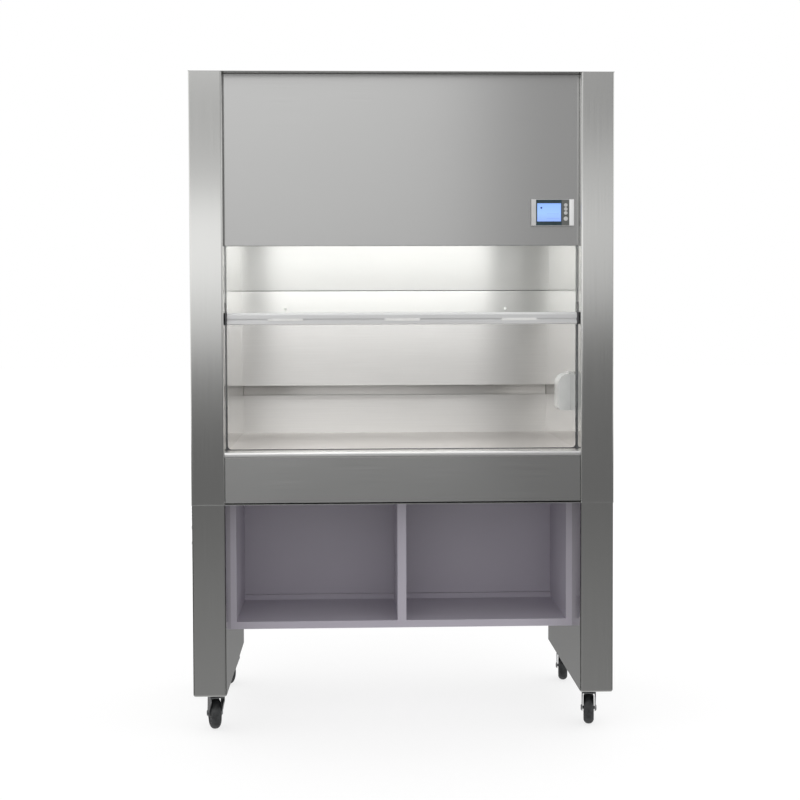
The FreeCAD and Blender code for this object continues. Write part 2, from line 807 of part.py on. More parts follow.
# Guide channels. The shoe's tongue reaches into the channel behind the column's folded edge.
track_y = front + size.column_return + size.panel_gap
track_back = track_y + size.track_wall * 2 + size.track_space
track_x = inner + size.panel_gap + size.track_inset
tongue_x = track_x - size.track_wall - size.shoe_play * 2
tongue_front = track_y + size.track_wall + size.shoe_play
tongue_back = track_back - size.track_wall - size.shoe_play
cable_x = inner + size.cable_inset
cable_y = front + size.cable_setback
pulley_x = cable_x + size.pulley_pitch
weight_x = pulley_x + size.pulley_pitch
shoe_top = size.rail_bottom + size.shoe_height
top_shoe_back = cable_y - size.top_shoe_clear
relief = size.pulley_flange + size.pulley_relief


def sash_track():
    """A channel open towards the chamber, cut away behind the pulley."""
    body = new_body("sash_track")
    place(body, (0, 0, size.track_bottom))
    sketch = new_sketch(body, "XY_Plane")
    mouth = -inner - size.panel_gap
    polygon(sketch, [
        (mouth, track_y),
        (-track_x, track_y),
        (-track_x, track_back),
        (mouth, track_back),
        (mouth, track_back - size.track_wall),
        (-track_x + size.track_wall, track_back - size.track_wall),
        (-track_x + size.track_wall, track_y + size.track_wall),
        (mouth, track_y + size.track_wall),
    ])
    pad(body, sketch, size.track_top - size.track_bottom)
    window = box(
        "track_window",
        (-track_x - over, cable_y - size.pulley_width / 2 - size.cheek_play, size.pulley_height - relief),
        (
            -track_x + size.track_wall + over,
            cable_y + size.pulley_width / 2 + size.cheek_play,
            size.pulley_height + relief,
        ),
    )
    return cut("left_track", body, window)


left_track = sash_track()
keep(group("sash_tracks", left_track, mirror("right_track", left_track)), "sash_tracks")

lower_cap = box(
    "shoe_cap",
    (-sash_half, rail_y, size.rail_bottom),
    (-rail_half, rail_back, rail_top),
)
lower_tongue = box(
    "shoe_tongue",
    (-tongue_x, tongue_front, size.rail_bottom),
    (-sash_half, rail_back, shoe_top),
)
lower_guide = box(
    "shoe_guide",
    (-tongue_x, rail_back, size.rail_bottom),
    (-inner - size.sash_side_gap, tongue_back, shoe_top),
)
cap_slot = box(
    "shoe_slot",
    (-glass_half - size.glass_clearance, slot_front, rail_top - over),
    (-rail_half + over, slot_back, shoe_top + over),
)
left_shoe = cut(
    "left_shoe", fuse("left_shoe_block", lower_cap, lower_tongue, lower_guide), cap_slot
)
top_tongue = box(
    "top_tongue",
    (-tongue_x, tongue_front, sash_top - size.top_shoe_drop - size.top_shoe_height),
    (-glass_half, top_shoe_back, sash_top - size.top_shoe_drop),
)
top_tab = box(
    "top_tab",
    (-glass_half - over, glass_y + size.glass_wall, sash_top - size.top_shoe_drop - size.top_shoe_height),
    (-glass_half + size.end_cap, top_shoe_back, sash_top - size.top_shoe_drop),
)
left_top_shoe = fuse("left_top_shoe", top_tongue, top_tab)
keep(group(
    "sash_shoes", left_shoe, left_top_shoe,
    mirror("right_shoe", left_shoe), mirror("right_top_shoe", left_top_shoe),
), "sash_shoes")


def pulley():
    """A grooved wheel turning on a fixed axle."""
    body = new_body("pulley")
    place(body, (-pulley_x, cable_y, size.pulley_height), TURN["Y"])
    sketch = new_sketch(body, "XZ_Plane")
    side = size.pulley_width / 2
    floor = size.pulley_pitch - size.cable_radius - size.panel_gap
    bore = size.axle_radius + size.axle_play
    polygon(sketch, [
        (bore, -side),
        (size.pulley_flange, -side),
        (floor, -size.cable_radius - size.panel_gap),
        (floor, size.cable_radius + size.panel_gap),
        (size.pulley_flange, side),
        (bore, side),
    ])
    revolve(body, sketch)
    return body


left_pulley = keep(pulley(), "left_pulley")
keep(mirror("right_pulley", left_pulley), "right_pulley")


def pulley_bracket():
    """Two cheeks hung from the top sheet, with the fixed axle between them."""
    reach = size.pulley_width / 2 + size.cheek_play
    parts = []
    for side, near in (("front", -reach - size.cheek_wall), ("back", reach)):
        parts.append(box(
            f"cheek_{side}",
            (-pulley_x - size.cheek_width / 2, cable_y + near, size.pulley_height - size.cheek_width / 2),
            (-pulley_x + size.cheek_width / 2, cable_y + near + size.cheek_wall, shell_top),
        ))
    parts.append(box(
        "cheek_bridge",
        (-pulley_x - size.cheek_width / 2, cable_y - reach, shell_top - size.cheek_wall),
        (-pulley_x + size.cheek_width / 2, cable_y + reach, shell_top),
    ))
    parts.append(cylinder(
        "pulley_axle",
        (-pulley_x, cable_y - reach - size.cheek_wall, size.pulley_height),
        size.axle_radius, (reach + size.cheek_wall) * 2, "Y",
    ))
    return fuse("left_bracket", *parts)


left_bracket = pulley_bracket()
keep(group("pulley_brackets", left_bracket, mirror("right_bracket", left_bracket)), "pulley_brackets")

# Sash cable: a run down to the shoe, half a turn over the pulley and a run down to the weight
sash_run = cylinder(
    "left_sash_run", (-cable_x, cable_y, shoe_top), size.cable_radius, size.pulley_height - shoe_top
)
keep(group("sash_cables", sash_run, mirror("right_sash_run", sash_run)), "sash_cables")
weight_run = cylinder(
    "left_weight_run",
    (-weight_x, cable_y, size.weight_top),
    size.cable_radius, size.pulley_height - size.weight_top,
)
keep(group("weight_cables", weight_run, mirror("right_weight_run", weight_run)), "weight_cables")
cable_turn = doc.addObject("Part::Torus", "left_cable_turn")
bind(cable_turn, "Radius1", size.pulley_pitch)
bind(cable_turn, "Radius2", size.cable_radius)
cable_turn.Angle3 = 180
place(cable_turn, (-pulley_x, cable_y, size.pulley_height), Rotation(Vector(1, 0, 0), 90))
keep(group("cable_wraps", cable_turn, mirror("right_cable_turn", cable_turn)), "cable_wraps")


def counterweight():
    """A steel bar, chamfered all round, hung on the cable."""
    body = new_body("counterweight")
    place(body, (-weight_x, cable_y, size.weight_top - size.weight_length))
    sketch = new_sketch(body, "XY_Plane")
    across = size.weight_width / 2
    deep = size.weight_depth / 2
    polygon(sketch, [(-across, -deep), (across, -deep), (across, deep), (-across, deep)])
    pad(body, sketch, size.weight_length)
    dress(body, "Chamfer", size.weight_chamfer, lambda edge, middle: True)
    return body


left_weight = keep(counterweight(), "left_counterweight")
keep(mirror("right_counterweight", left_weight), "right_counterweight")

# Blower: a scroll of three quarter turns whose radius grows by one step each, then straight up
blower_y = front + size.blower_setback
step = size.scroll_step
first_y = blower_y - step / 2
first_z = size.blower_height - step / 2
scroll_x = -size.scroll_width / 2


def scroll(name, shrink, trim, top):
    """The scroll's form, smaller by the wall all round where it is the inside."""
    length = size.scroll_width - trim * 2
    start = scroll_x + trim
    quarters = []
    centres = ((first_y, first_z, 0), (first_y + step, first_z, 1), (first_y + step, first_z + step, 2))
    for y, z, turn in centres:
        quarter = cylinder(
            f"{name}_quarter_{turn}", (start, y, z), size.scroll_radius + step * turn - shrink, length,
            turn=Rotation(Vector(1, 0, 0), 180 + 90 * turn) * TURN["X"],
        )
        quarter.Angle = 90
        quarters.append(quarter)
    edge = size.scroll_radius + step * 2 - shrink
    duct = [
        box(
            f"{name}_core",
            (start, first_y, first_z),
            (start + length, first_y + step, first_z + size.scroll_radius - shrink),
        ),
        box(
            f"{name}_throat",
            (start, first_y + shrink, first_z),
            (start + length, first_y + step, top),
        ),
        box(
            f"{name}_duct",
            (start, first_y + step, first_z + step),
            (start + length, first_y + step + edge, top),
        ),
    ]
    return fuse(name, *quarters, *duct)


scroll_outside = scroll("scroll_outside", measure(0), measure(0), shell_top)
scroll_inside = scroll("scroll_inside", size.scroll_wall, size.scroll_wall, shell_top + over)
inlet_hole = cylinder(
    "inlet_hole", (scroll_x - over, blower_y, size.blower_height), size.inlet_radius,
    size.scroll_wall + over * 2, "X",
)
shaft_hole = cylinder(
    "shaft_hole", (-scroll_x - size.scroll_wall - over, blower_y, size.blower_height),
    size.hub_radius + size.hub_clearance, size.scroll_wall + over * 2, "X",
)
inlet_outer = cylinder(
    "inlet_outer", (scroll_x, blower_y, size.blower_height), size.inlet_radius,
    size.inlet_lip, "X",
)
inlet_inner = cylinder(
    "inlet_inner", (scroll_x - over, blower_y, size.blower_height),
    size.inlet_radius - size.scroll_wall, size.inlet_lip + over * 2, "X",
)
scroll_feet = [
    box(
        f"blower_foot_{side}",
        (start, blower_y - size.foot_half, ceiling_top),
        (start + size.foot_wall, blower_y + size.foot_half, size.blower_height - size.foot_drop),
    )
    for side, start in (
        ("left", scroll_x - size.foot_wall),
        ("right", -scroll_x),
    )
]
inlet_clear = cylinder(
    "inlet_clear", (scroll_x - size.foot_wall - over, blower_y, size.blower_height), size.inlet_radius,
    size.foot_wall + over, "X",
)
motor_clear = cylinder(
    "motor_clear", (-scroll_x, blower_y, size.blower_height), size.motor_radius + size.foot_wall,
    size.foot_wall + over, "X",
)
scroll_case = cut("scroll_case", scroll_outside, scroll_inside, inlet_hole, shaft_hole)
inlet_ring = cut("inlet_ring", inlet_outer, inlet_inner)
feet = cut("feet", fuse("feet_pair", *scroll_feet), inlet_clear, motor_clear)
keep(fuse("blower_housing", scroll_case, inlet_ring, feet), "blower_housing")


def blower_motor():
    """A ribbed motor bolted to the scroll's side."""
    body = new_body("motor_body")
    place(body, (-scroll_x, blower_y, size.blower_height), TURN["X"])
    sketch = new_sketch(body, "XZ_Plane")
    bore = size.shaft_radius + size.axle_play
    rib_crest = size.motor_radius + size.motor_rib
    corners = [(bore, 0), (size.motor_radius, 0)]
    rib_low = size.motor_rib_pitch
    while rib_low.value + size.motor_rib_pitch.value < size.motor_length.value:
        corners += [
            (size.motor_radius, rib_low),
            (rib_crest, rib_low),
            (rib_crest, rib_low + size.motor_rib_wall),
            (size.motor_radius, rib_low + size.motor_rib_wall),
        ]
        rib_low = rib_low + size.motor_rib_pitch
    corners += [
        (size.motor_radius, size.motor_length - size.motor_chamfer),
        (size.motor_radius - size.motor_chamfer, size.motor_length),
        (0, size.motor_length),
        (0, size.shaft_depth),
        (bore, size.shaft_depth),
    ]
    polygon(sketch, corners)
    revolve(body, sketch)
    return body


keep(blower_motor(), "blower_motor")


def impeller():
    """Drum of forward-curved blades between a back plate and a ring, on the motor's shaft."""
    body = new_body("impeller_body")
    start = -scroll_x - size.scroll_wall - size.impeller_gap - size.impeller_width
    place(body, (start, blower_y, size.blower_height), TURN["X"])
    ring = new_sketch(body, "XY_Plane")
    circle(ring, 0, 0, size.impeller_radius)
    circle(ring, 0, 0, size.blade_inner + size.blade_wall)
    pad(body, ring, size.impeller_plate)
    blade = new_sketch(body, "XY_Plane")
    blade_sketch(blade)
    blades = pad(body, blade, size.impeller_width)
    pattern = body.newObject("PartDesign::PolarPattern", "blade_ring")
    pattern.Originals = [blades]
    pattern.Axis = (blade, ["N_Axis"])
    pattern.Angle = 360
    bind(pattern, "Occurrences", size.blade_count)
    body.Tip = pattern
    plate = new_sketch(body, "XY_Plane", size.impeller_width - size.impeller_plate)
    circle(plate, 0, 0, size.impeller_radius)
    pad(body, plate, size.impeller_plate)
    hub = new_sketch(body, "XY_Plane", size.impeller_width - size.hub_length)
    circle(hub, 0, 0, size.hub_radius)
    pad(body, hub, size.hub_length)
    shaft = new_sketch(body, "XY_Plane", size.impeller_width)
    circle(shaft, 0, 0, size.shaft_radius)
    pad(body, shaft, size.impeller_gap + size.scroll_wall + size.shaft_depth - size.shaft_end_play)
    return body


def blade_sketch(sketch):
    """One curved blade whose four corners lie on the drum's inner and outer circles."""
    inner_ring = size.blade_inner.value
    outer_ring = size.impeller_radius.value
    for radius, length in ((inner_ring, size.blade_inner), (outer_ring, size.impeller_radius)):
        index = sketch.addGeometry(Part.Circle(Vector(), Vector(0, 0, 1), radius), True)
        sketch.addConstraint(Sketcher.Constraint("Coincident", index, 3, -1, 1))
        hold(sketch, Sketcher.Constraint("Radius", index, radius), length)
    centre = Vector((inner_ring + outer_ring) / 2, -size.blade_curve.value / 2, 0)
    arcs = []
    for radius in (size.blade_curve, size.blade_curve - size.blade_wall):
        near = meeting_angle(centre, radius.value, inner_ring)
        far = meeting_angle(centre, radius.value, outer_ring)
        round_line = Part.Circle(centre, Vector(0, 0, 1), radius.value)
        arcs.append((sketch.addGeometry(Part.ArcOfCircle(round_line, far, near), False), radius))
    across = (size.blade_inner + size.impeller_radius) / 2
    pin_point(sketch, arcs[0][0], 3, across, -size.blade_curve / 2)
    sketch.addConstraint(Sketcher.Constraint("Coincident", arcs[1][0], 3, arcs[0][0], 3))
    for index, radius in arcs:
        hold(sketch, Sketcher.Constraint("Radius", index, radius.value), radius)
        sketch.addConstraint(Sketcher.Constraint("PointOnObject", index, 1, 1))
        sketch.addConstraint(Sketcher.Constraint("PointOnObject", index, 2, 0))
    for end in (1, 2):
        start_point = sketch.getPoint(arcs[0][0], end)
        end_point = sketch.getPoint(arcs[1][0], end)
        line = sketch.addGeometry(Part.LineSegment(start_point, end_point), False)
        sketch.addConstraint(Sketcher.Constraint("Coincident", line, 1, arcs[0][0], end))
        sketch.addConstraint(Sketcher.Constraint("Coincident", line, 2, arcs[1][0], end))


def meeting_angle(centre, radius, ring):
    """Angle on the blade's curve, above its centre, at which it meets a circle about the shaft."""
    reach = math.hypot(centre.x, centre.y)
    spread = math.acos((ring ** 2 - reach ** 2 - radius ** 2) / (2 * reach * radius))
    return math.atan2(centre.y, centre.x) + spread


keep(impeller(), "impeller")


def duct_collar():
    """Round spigot with a bolting flange and a stiffening bead."""
    body = new_body("duct_collar")
    place(body, (0, collar_y, size.cabinet_top))
    sketch = new_sketch(body, "XZ_Plane")
    outer = size.collar_radius
    polygon(sketch, [
        (collar_bore, 0),
        (outer + size.collar_flange, 0),
        (outer + size.collar_flange, wall),
        (outer, wall),
        (outer, size.bead_rise),
        (outer + size.collar_bead, size.bead_rise + size.collar_bead),
        (outer, size.bead_rise + size.collar_bead * 2),
        (outer, size.collar_height),
        (collar_bore, size.collar_height),
    ])
    revolve(body, sketch)
    return body


keep(duct_collar(), "duct_collar")

# Controller: moulded face with a sunk screen and four buttons in bores
control_face = panel_face - size.control_proud
control_top = size.control_bottom + size.control_height
button_x = control_high - size.button_line
button_back = control_face - size.button_proud + size.button_length
bore_floor = button_back + size.button_travel + size.panel_gap
buttons = [("button_start", size.start_radius, size.control_bottom + size.start_height)]
for index, label in enumerate(("button_down", "button_up", "button_lamp")):
    height = size.control_bottom + size.button_first + size.button_pitch * index
    buttons.append((label, size.button_radius, height))


def controller():
    body = new_body("controller_face")
    place(body, (control_low, control_face, size.control_bottom))
    sketch = new_sketch(body, "XZ_Plane")
    width, height = size.control_width, size.control_height
    polygon(sketch, [(0, 0), (width, 0), (width, height), (0, height)])
    pad(body, sketch, size.control_proud, reverse=True)
    dress(body, "Fillet", size.control_corner, lambda edge, middle: runs_along(edge, 1))
    dress(body, "Fillet", size.control_edge, lambda edge, middle: same(middle.y, 0))
    back = box(
        "controller_back",
        (aperture_low + size.panel_gap, panel_face, aperture_floor + size.panel_gap),
        (aperture_high - size.panel_gap, panel_face + size.control_back, aperture_roof - size.panel_gap),
    )
    tools = [box(
        "screen_recess",
        (
            control_low + size.screen_left - size.panel_gap,
            control_face - over,
            size.control_bottom + size.screen_bottom - size.panel_gap,
        ),
        (
            control_low + size.screen_left + size.screen_width + size.panel_gap,
            control_face + size.screen_sunk + size.screen_wall,
            size.control_bottom + size.screen_bottom + size.screen_height + size.panel_gap,
        ),
    )]
    for label, radius, height in buttons:
        tools.append(cylinder(
            label + "_bore", (button_x, control_face - over, height), radius + size.button_play,
            bore_floor - control_face + over, "Y",
        ))
    return cut("controller_housing", fuse("controller_block", body, back), *tools)


keep(controller(), "controller_housing")
keep(box(
    "display_screen",
    (
        control_low + size.screen_left,
        control_face + size.screen_sunk,
        size.control_bottom + size.screen_bottom,
    ),
    (
        control_low + size.screen_left + size.screen_width,
        control_face + size.screen_sunk + size.screen_wall,
        size.control_bottom + size.screen_bottom + size.screen_height,
    ),
), "display_screen")


def button(label, radius, height):
    """A domed push button turned about its own axis."""
    body = new_body(label)
    place(body, (button_x, button_back, height), Rotation(Vector(1, 0, 0), 90))
    sketch = new_sketch(body, "XZ_Plane")
    polygon(sketch, [
        (0, 0),
        (radius, 0),
        (radius, size.button_length - size.button_edge),
        (radius - size.button_edge, size.button_length),
        (0, size.button_length),
    ])
    revolve(body, sketch)
    return body


for label, radius, height in buttons:
    keep(button(label, radius, height), label)

# Splash-proof socket on the right side wall
socket_y = front + size.socket_front
socket_back = socket_y + size.socket_width
socket_top = size.socket_bottom + size.socket_height
base_x = chamber_half - size.socket_base
insert_x = base_x - size.socket_plate
lid_back = base_x - size.lid_gap
lid_front = lid_back - size.lid_depth
hinge_z = socket_top + size.lid_hinge_radius + size.lid_gap


socket_mid_y = socket_y + size.socket_width / 2
socket_mid_z = size.socket_bottom + size.socket_height / 2


def pin_holes(name, start, depth):
    """Two holes side by side and one above them, drilled towards the wall."""
    places = (
        (-size.pin_spacing / 2, -size.pin_drop),
        (size.pin_spacing / 2, -size.pin_drop),
        (0, size.pin_rise),
    )
    return [
        cylinder(
            f"{name}_{index}", (start, socket_mid_y + across, socket_mid_z + up), size.pin_hole, depth, "X"
        )
        for index, (across, up) in enumerate(places)
    ]


def socket_box():
    """Base with hinge ears on top; the insert sits on its face, over the same three holes."""
    base = box(
        "socket_base",
        (base_x, socket_y, size.socket_bottom),
        (chamber_half, socket_back, socket_top),
    )
    ears = []
    for side, start in (("front", socket_y), ("back", socket_back - size.lid_ear)):
        ears.append(box(
            f"hinge_ear_{side}",
            (base_x + size.lid_hinge_radius, start, socket_top),
            (base_x + size.lid_hinge_radius + size.lid_ear_wall, start + size.lid_ear, hinge_z),
        ))
        ears.append(cylinder(
            f"hinge_barrel_{side}", (base_x + size.lid_hinge_radius, start, hinge_z),
            size.lid_hinge_radius, size.lid_ear, "Y",
        ))
    holes = pin_holes("base_hole", base_x - over, size.pin_depth + over)
    return cut("socket_box", fuse("socket_block", base, *ears), *holes)


keep(socket_box(), "socket_box")

insert_block = box(
    "insert_block",
    (insert_x, socket_y + size.socket_margin, size.socket_bottom + size.socket_margin),
    (base_x, socket_back - size.socket_margin, socket_top - size.socket_margin),
)
insert_holes = pin_holes("insert_hole", insert_x - over, size.socket_plate + over * 2)
keep(cut("socket_faceplate", insert_block, *insert_holes), "socket_faceplate")


def socket_lid():
    """Deep sprung lid, hollow towards the base, with its own hinge barrel between the ears."""
    body = new_body("lid_form")
    place(body, (0, socket_y, 0))
    sketch = new_sketch(body, "XZ_Plane")
    polygon(sketch, [
        (lid_front, size.socket_bottom),
        (lid_back, size.socket_bottom),
        (lid_back, socket_top),
        (lid_front, socket_top),
    ])
    pad(body, sketch, size.socket_width, reverse=True)
    front_x, low, high = lid_front.value, size.socket_bottom.value, socket_top.value
    dress(body, "Fillet", size.lid_top_radius, lambda edge, middle: (
        runs_along(edge, 1) and same(middle.x, front_x) and same(middle.z, high)
    ))
    dress(body, "Fillet", size.lid_low_radius, lambda edge, middle: (
        runs_along(edge, 1) and same(middle.x, front_x) and same(middle.z, low)
    ))
    hollow = new_body("lid_hollow")
    place(hollow, (0, socket_y + size.lid_wall, 0))
    hollow_sketch = new_sketch(hollow, "XZ_Plane")
    polygon(hollow_sketch, [
        (lid_front + size.lid_wall, size.socket_bottom + size.lid_wall),
        (lid_back + over, size.socket_bottom + size.lid_wall),
        (lid_back + over, socket_top - size.lid_wall),
        (lid_front + size.lid_wall, socket_top - size.lid_wall),
    ])
    pad(hollow, hollow_sketch, size.socket_width - size.lid_wall * 2, reverse=True)
    inside_x = (lid_front + size.lid_wall).value
    inside_top = (socket_top - size.lid_wall).value
    dress(hollow, "Fillet", size.lid_top_radius - size.lid_wall, lambda edge, middle: (
        runs_along(edge, 1) and same(middle.x, inside_x) and same(middle.z, inside_top)
    ))
    barrel_start = socket_y + size.lid_ear + size.lid_gap
    barrel_length = size.socket_width - (size.lid_ear + size.lid_gap) * 2
    barrel = cylinder(
        "lid_barrel", (base_x + size.lid_hinge_radius, barrel_start, hinge_z),
        size.lid_hinge_radius, barrel_length, "Y",
    )
    strap = box(
        "lid_strap",
        (lid_back - size.lid_strap, barrel_start, socket_top - size.lid_wall),
        (lid_back, barrel_start + barrel_length, hinge_z + size.lid_hinge_radius),
    )
    bridge = box(
        "lid_bridge",
        (lid_back - size.lid_wall, barrel_start, hinge_z),
        (base_x + size.lid_hinge_radius, barrel_start + barrel_length, hinge_z + size.lid_hinge_radius),
    )
    shell = cut("lid_shell", body, hollow)
    return fuse("socket_lid", shell, strap, bridge, barrel)


keep(socket_lid(), "socket_lid")

# Drain on the left side: corrugated hose, plain pipe, white end fitting and its elbow and clips
hose_outer = size.hose_radius + size.hose_rib
hose_x = -half - size.hose_off_side - hose_outer
hose_y = front + size.hose_setback
hose_bottom = size.hose_top - size.hose_pitch * size.hose_ribs
pipe_bottom = hose_bottom - size.pipe_length
fitting_bottom = pipe_bottom - size.fitting_length


def drain_hose():
    """Corrugated tube: one ring of its profile repeated down its length."""
    body = new_body("drain_hose")
    place(body, (hose_x, hose_y, hose_bottom))
    tube = new_sketch(body, "XY_Plane")
    circle(tube, 0, 0, size.hose_radius)
    circle(tube, 0, 0, size.hose_radius - size.pipe_wall)
    pad(body, tube, size.hose_pitch * size.hose_ribs)
    ring = new_sketch(body, "XZ_Plane")
    quarter = size.hose_pitch / 4
    polygon(ring, [
        (size.hose_radius - size.pipe_wall / 2, quarter),
        (size.hose_radius, quarter),
        (hose_outer, quarter * 2),
        (size.hose_radius, quarter * 3),
        (size.hose_radius - size.pipe_wall / 2, quarter * 3),
    ])
    turned = revolve(body, ring)
    pattern = body.newObject("PartDesign::LinearPattern", "hose_rings")
    pattern.Originals = [turned]
    pattern.Direction = (tube, ["N_Axis"])
    bind(pattern, "Length", size.hose_pitch * (size.hose_ribs - 1))
    bind(pattern, "Occurrences", size.hose_ribs)
    body.Tip = pattern
    return body


keep(drain_hose(), "drain_hose")
pipe_outer = cylinder("pipe_outer", (hose_x, hose_y, pipe_bottom), size.pipe_radius, size.pipe_length)
pipe_inner = cylinder(
    "pipe_inner", (hose_x, hose_y, pipe_bottom - over), size.pipe_radius - size.pipe_wall,
    size.pipe_length + over * 2,
)
keep(cut("drain_pipe", pipe_outer, pipe_inner), "drain_pipe")

fitting_outer = cylinder(
    "fitting_outer", (hose_x, hose_y, fitting_bottom), size.fitting_radius, size.fitting_length
)
fitting_inner = cylinder(
    "fitting_inner", (hose_x, hose_y, fitting_bottom - over), size.pipe_radius - size.pipe_wall,
    size.fitting_length + over * 2,
)
elbow_drop = cylinder("elbow_drop", (hose_x, hose_y, size.hose_top), size.hose_radius, hose_outer * 2)
elbow_arm = cylinder(
    "elbow_arm", (hose_x, hose_y, size.hose_top + hose_outer), size.hose_radius, -half - hose_x, "X"
)
clip_pieces = []
for index in range(2):
    height = pipe_bottom + size.clip_first + size.clip_spacing * index
    clip_pieces.append(cut(
        f"clip_{index}",
        box(
            f"clip_block_{index}",
            (hose_x - size.fitting_radius, hose_y - size.fitting_radius, height),
            (-half + size.base_inset, hose_y + size.fitting_radius, height + size.clip_height),
        ),
        cylinder(
            f"clip_bore_{index}", (hose_x, hose_y, height - over), size.pipe_radius + size.axle_play,
            size.clip_height + over * 2,
        ),
    ))
keep(group(
    "drain_fittings",
    cut("drain_end", fitting_outer, fitting_inner),
    fuse("drain_elbow", elbow_drop, elbow_arm),
    *clip_pieces,
), "drain_fittings")


# Base: two deep hollow side panels with the open storage box between them
def base_panel():
    """Folded upright, rounded at its edges and closed underneath."""
    body = new_body("base_form")
    place(body, (-half + size.base_inset, front, size.base_bottom))
    sketch = new_sketch(body, "XY_Plane")
    width, depth = size.base_width, size.base_depth
    polygon(sketch, [(0, 0), (width, 0), (width, depth), (0, depth)])
    pad(body, sketch, size.cabinet_bottom - size.base_bottom)
    dress(body, "Fillet", size.base_corner, lambda edge, middle: runs_along(edge, 2))
    dress(body, "Fillet", size.base_foot_radius, lambda edge, middle: same(middle.z, 0))
    hollow = box(
        "base_hollow",
        (-half + size.base_inset + wall, front + wall, size.base_bottom + size.base_foot_radius),
        (
            -half + size.base_inset + size.base_width - wall,
            front + size.base_depth - wall,
            size.cabinet_bottom + over,
        ),
    )
    return cut("base_left_panel", body, hollow)


base_left = keep(base_panel(), "base_left_panel")
keep(mirror("base_right_panel", base_left), "base_right_panel")

store_y = front + size.store_front
store_back = store_y + size.store_depth
store_half = half - size.base_inset - size.base_width
store_inner = store_half - size.store_board
floor_top = size.store_bottom + size.store_floor
left_board = box(
    "left_board",
    (-store_half, store_y, size.store_bottom),
    (-store_inner, store_back, size.cabinet_bottom),
)
middle_board = box(
    "middle_board",
    (-size.store_divider / 2, store_y, floor_top),
    (size.store_divider / 2, store_back - size.store_step_depth, size.cabinet_bottom),
)
keep(group("storage_boards", left_board, mirror("right_board", left_board), middle_board), "storage_boards")


def storage_floor():
    """Floor with a low step along its back."""
    body = new_body("storage_floor")
    place(body, (-store_inner, 0, 0))
    sketch = new_sketch(body, "YZ_Plane")
    step_y = store_back - size.store_step_depth
    polygon(sketch, [
        (store_y, size.store_bottom),
        (store_back, size.store_bottom),
        (store_back, floor_top + size.store_step_height),
        (step_y, floor_top + size.store_step_height),
        (step_y, floor_top),
        (store_y, floor_top),
    ])
    pad(body, sketch, store_inner * 2)
    return body


keep(storage_floor(), "storage_floor")
keep(box(
    "storage_back",
    (-store_half, store_back, size.store_bottom),
    (store_half, store_back + size.store_back, size.cabinet_bottom),
), "storage_back")

# Castors: fixed plate and race, swivelling fork with its axle, turning wheel
# Each row: name, the swivel's centre, and the angle in degrees that it stands at
castors = [
    ("front_left", -size.castor_line, front + size.castor_front, 14),
    ("front_right", size.castor_line, front + size.castor_front, -9),
    ("rear_left", -size.castor_line, front + size.castor_rear, 22),
    ("rear_right", size.castor_line, front + size.castor_rear, -9),
]
plate_top = size.base_bottom
plate_low = plate_top - size.castor_plate_wall
race_low = plate_low - size.race_height
crown_top = race_low - size.fork_gap
fork_outer = size.fork_space / 2 + size.fork_wall


def castor_plate(name, x, y):
    side = size.castor_plate / 2
    plate = box(name + "_plate", (x - side, y - side, plate_low), (x + side, y + side, plate_top))
    race = cylinder(name + "_race", (x, y, race_low), size.race_radius, size.race_height)
    pin = cylinder(
        name + "_kingpin", (x, y, crown_top - size.kingpin_reach), size.kingpin_radius,
        race_low - crown_top + size.kingpin_reach,
    )
    return fuse(name + "_mount", plate, race, pin)


def castor_fork(name, x, y, turn):
    """Pressed fork: a bridge under the race and two tapering legs down to the axle."""
    body = new_body(name + "_form")
    spin = Rotation(Vector(0, 0, 1), turn)
    place(body, (x, y, 0), spin)
    sketch = new_sketch(body, "YZ_Plane")
    nose = size.fork_nose
    crown_low = crown_top - size.fork_skirt
    polygon(sketch, [
        (-size.fork_crown, crown_top),
        (-size.fork_crown, crown_low),
        (size.fork_trail - nose, size.wheel_radius - nose / 2),
        (size.fork_trail - nose / 2, size.wheel_radius - nose),
        (size.fork_trail + nose / 2, size.wheel_radius - nose),
        (size.fork_trail + nose, size.wheel_radius - nose / 2),
        (size.fork_crown, crown_low),
        (size.fork_crown, crown_top),
    ])
    pad(body, sketch, fork_outer * 2, middle=True)
    slot = new_body(name + "_slot")
    place(slot, (x, y, 0), spin)
    slot_sketch = new_sketch(slot, "YZ_Plane")
    far = size.fork_crown + size.wheel_radius
    crown_floor = crown_top - size.fork_wall
    polygon(slot_sketch, [(-far, 0), (far, 0), (far, crown_floor), (-far, crown_floor)])
    pad(slot, slot_sketch, size.fork_space, middle=True)
    hole = cylinder(
        name + "_hole", (x, y, crown_floor - over), size.kingpin_radius + size.axle_play,
        size.fork_wall + over * 2,
    )
    shell = cut(name + "_shell", body, slot, hole)
    reach = fork_outer + size.fork_wall
    angle = math.radians(turn)
    axle = cylinder(
        name + "_axle",
        (
            x - size.fork_trail * math.sin(angle) - reach * math.cos(angle),
            y + size.fork_trail * math.cos(angle) - reach * math.sin(angle),
            size.wheel_radius,
        ),
        size.castor_axle, reach * 2, turn=spin * TURN["X"],
    )
    return fuse(name + "_fork", shell, axle)


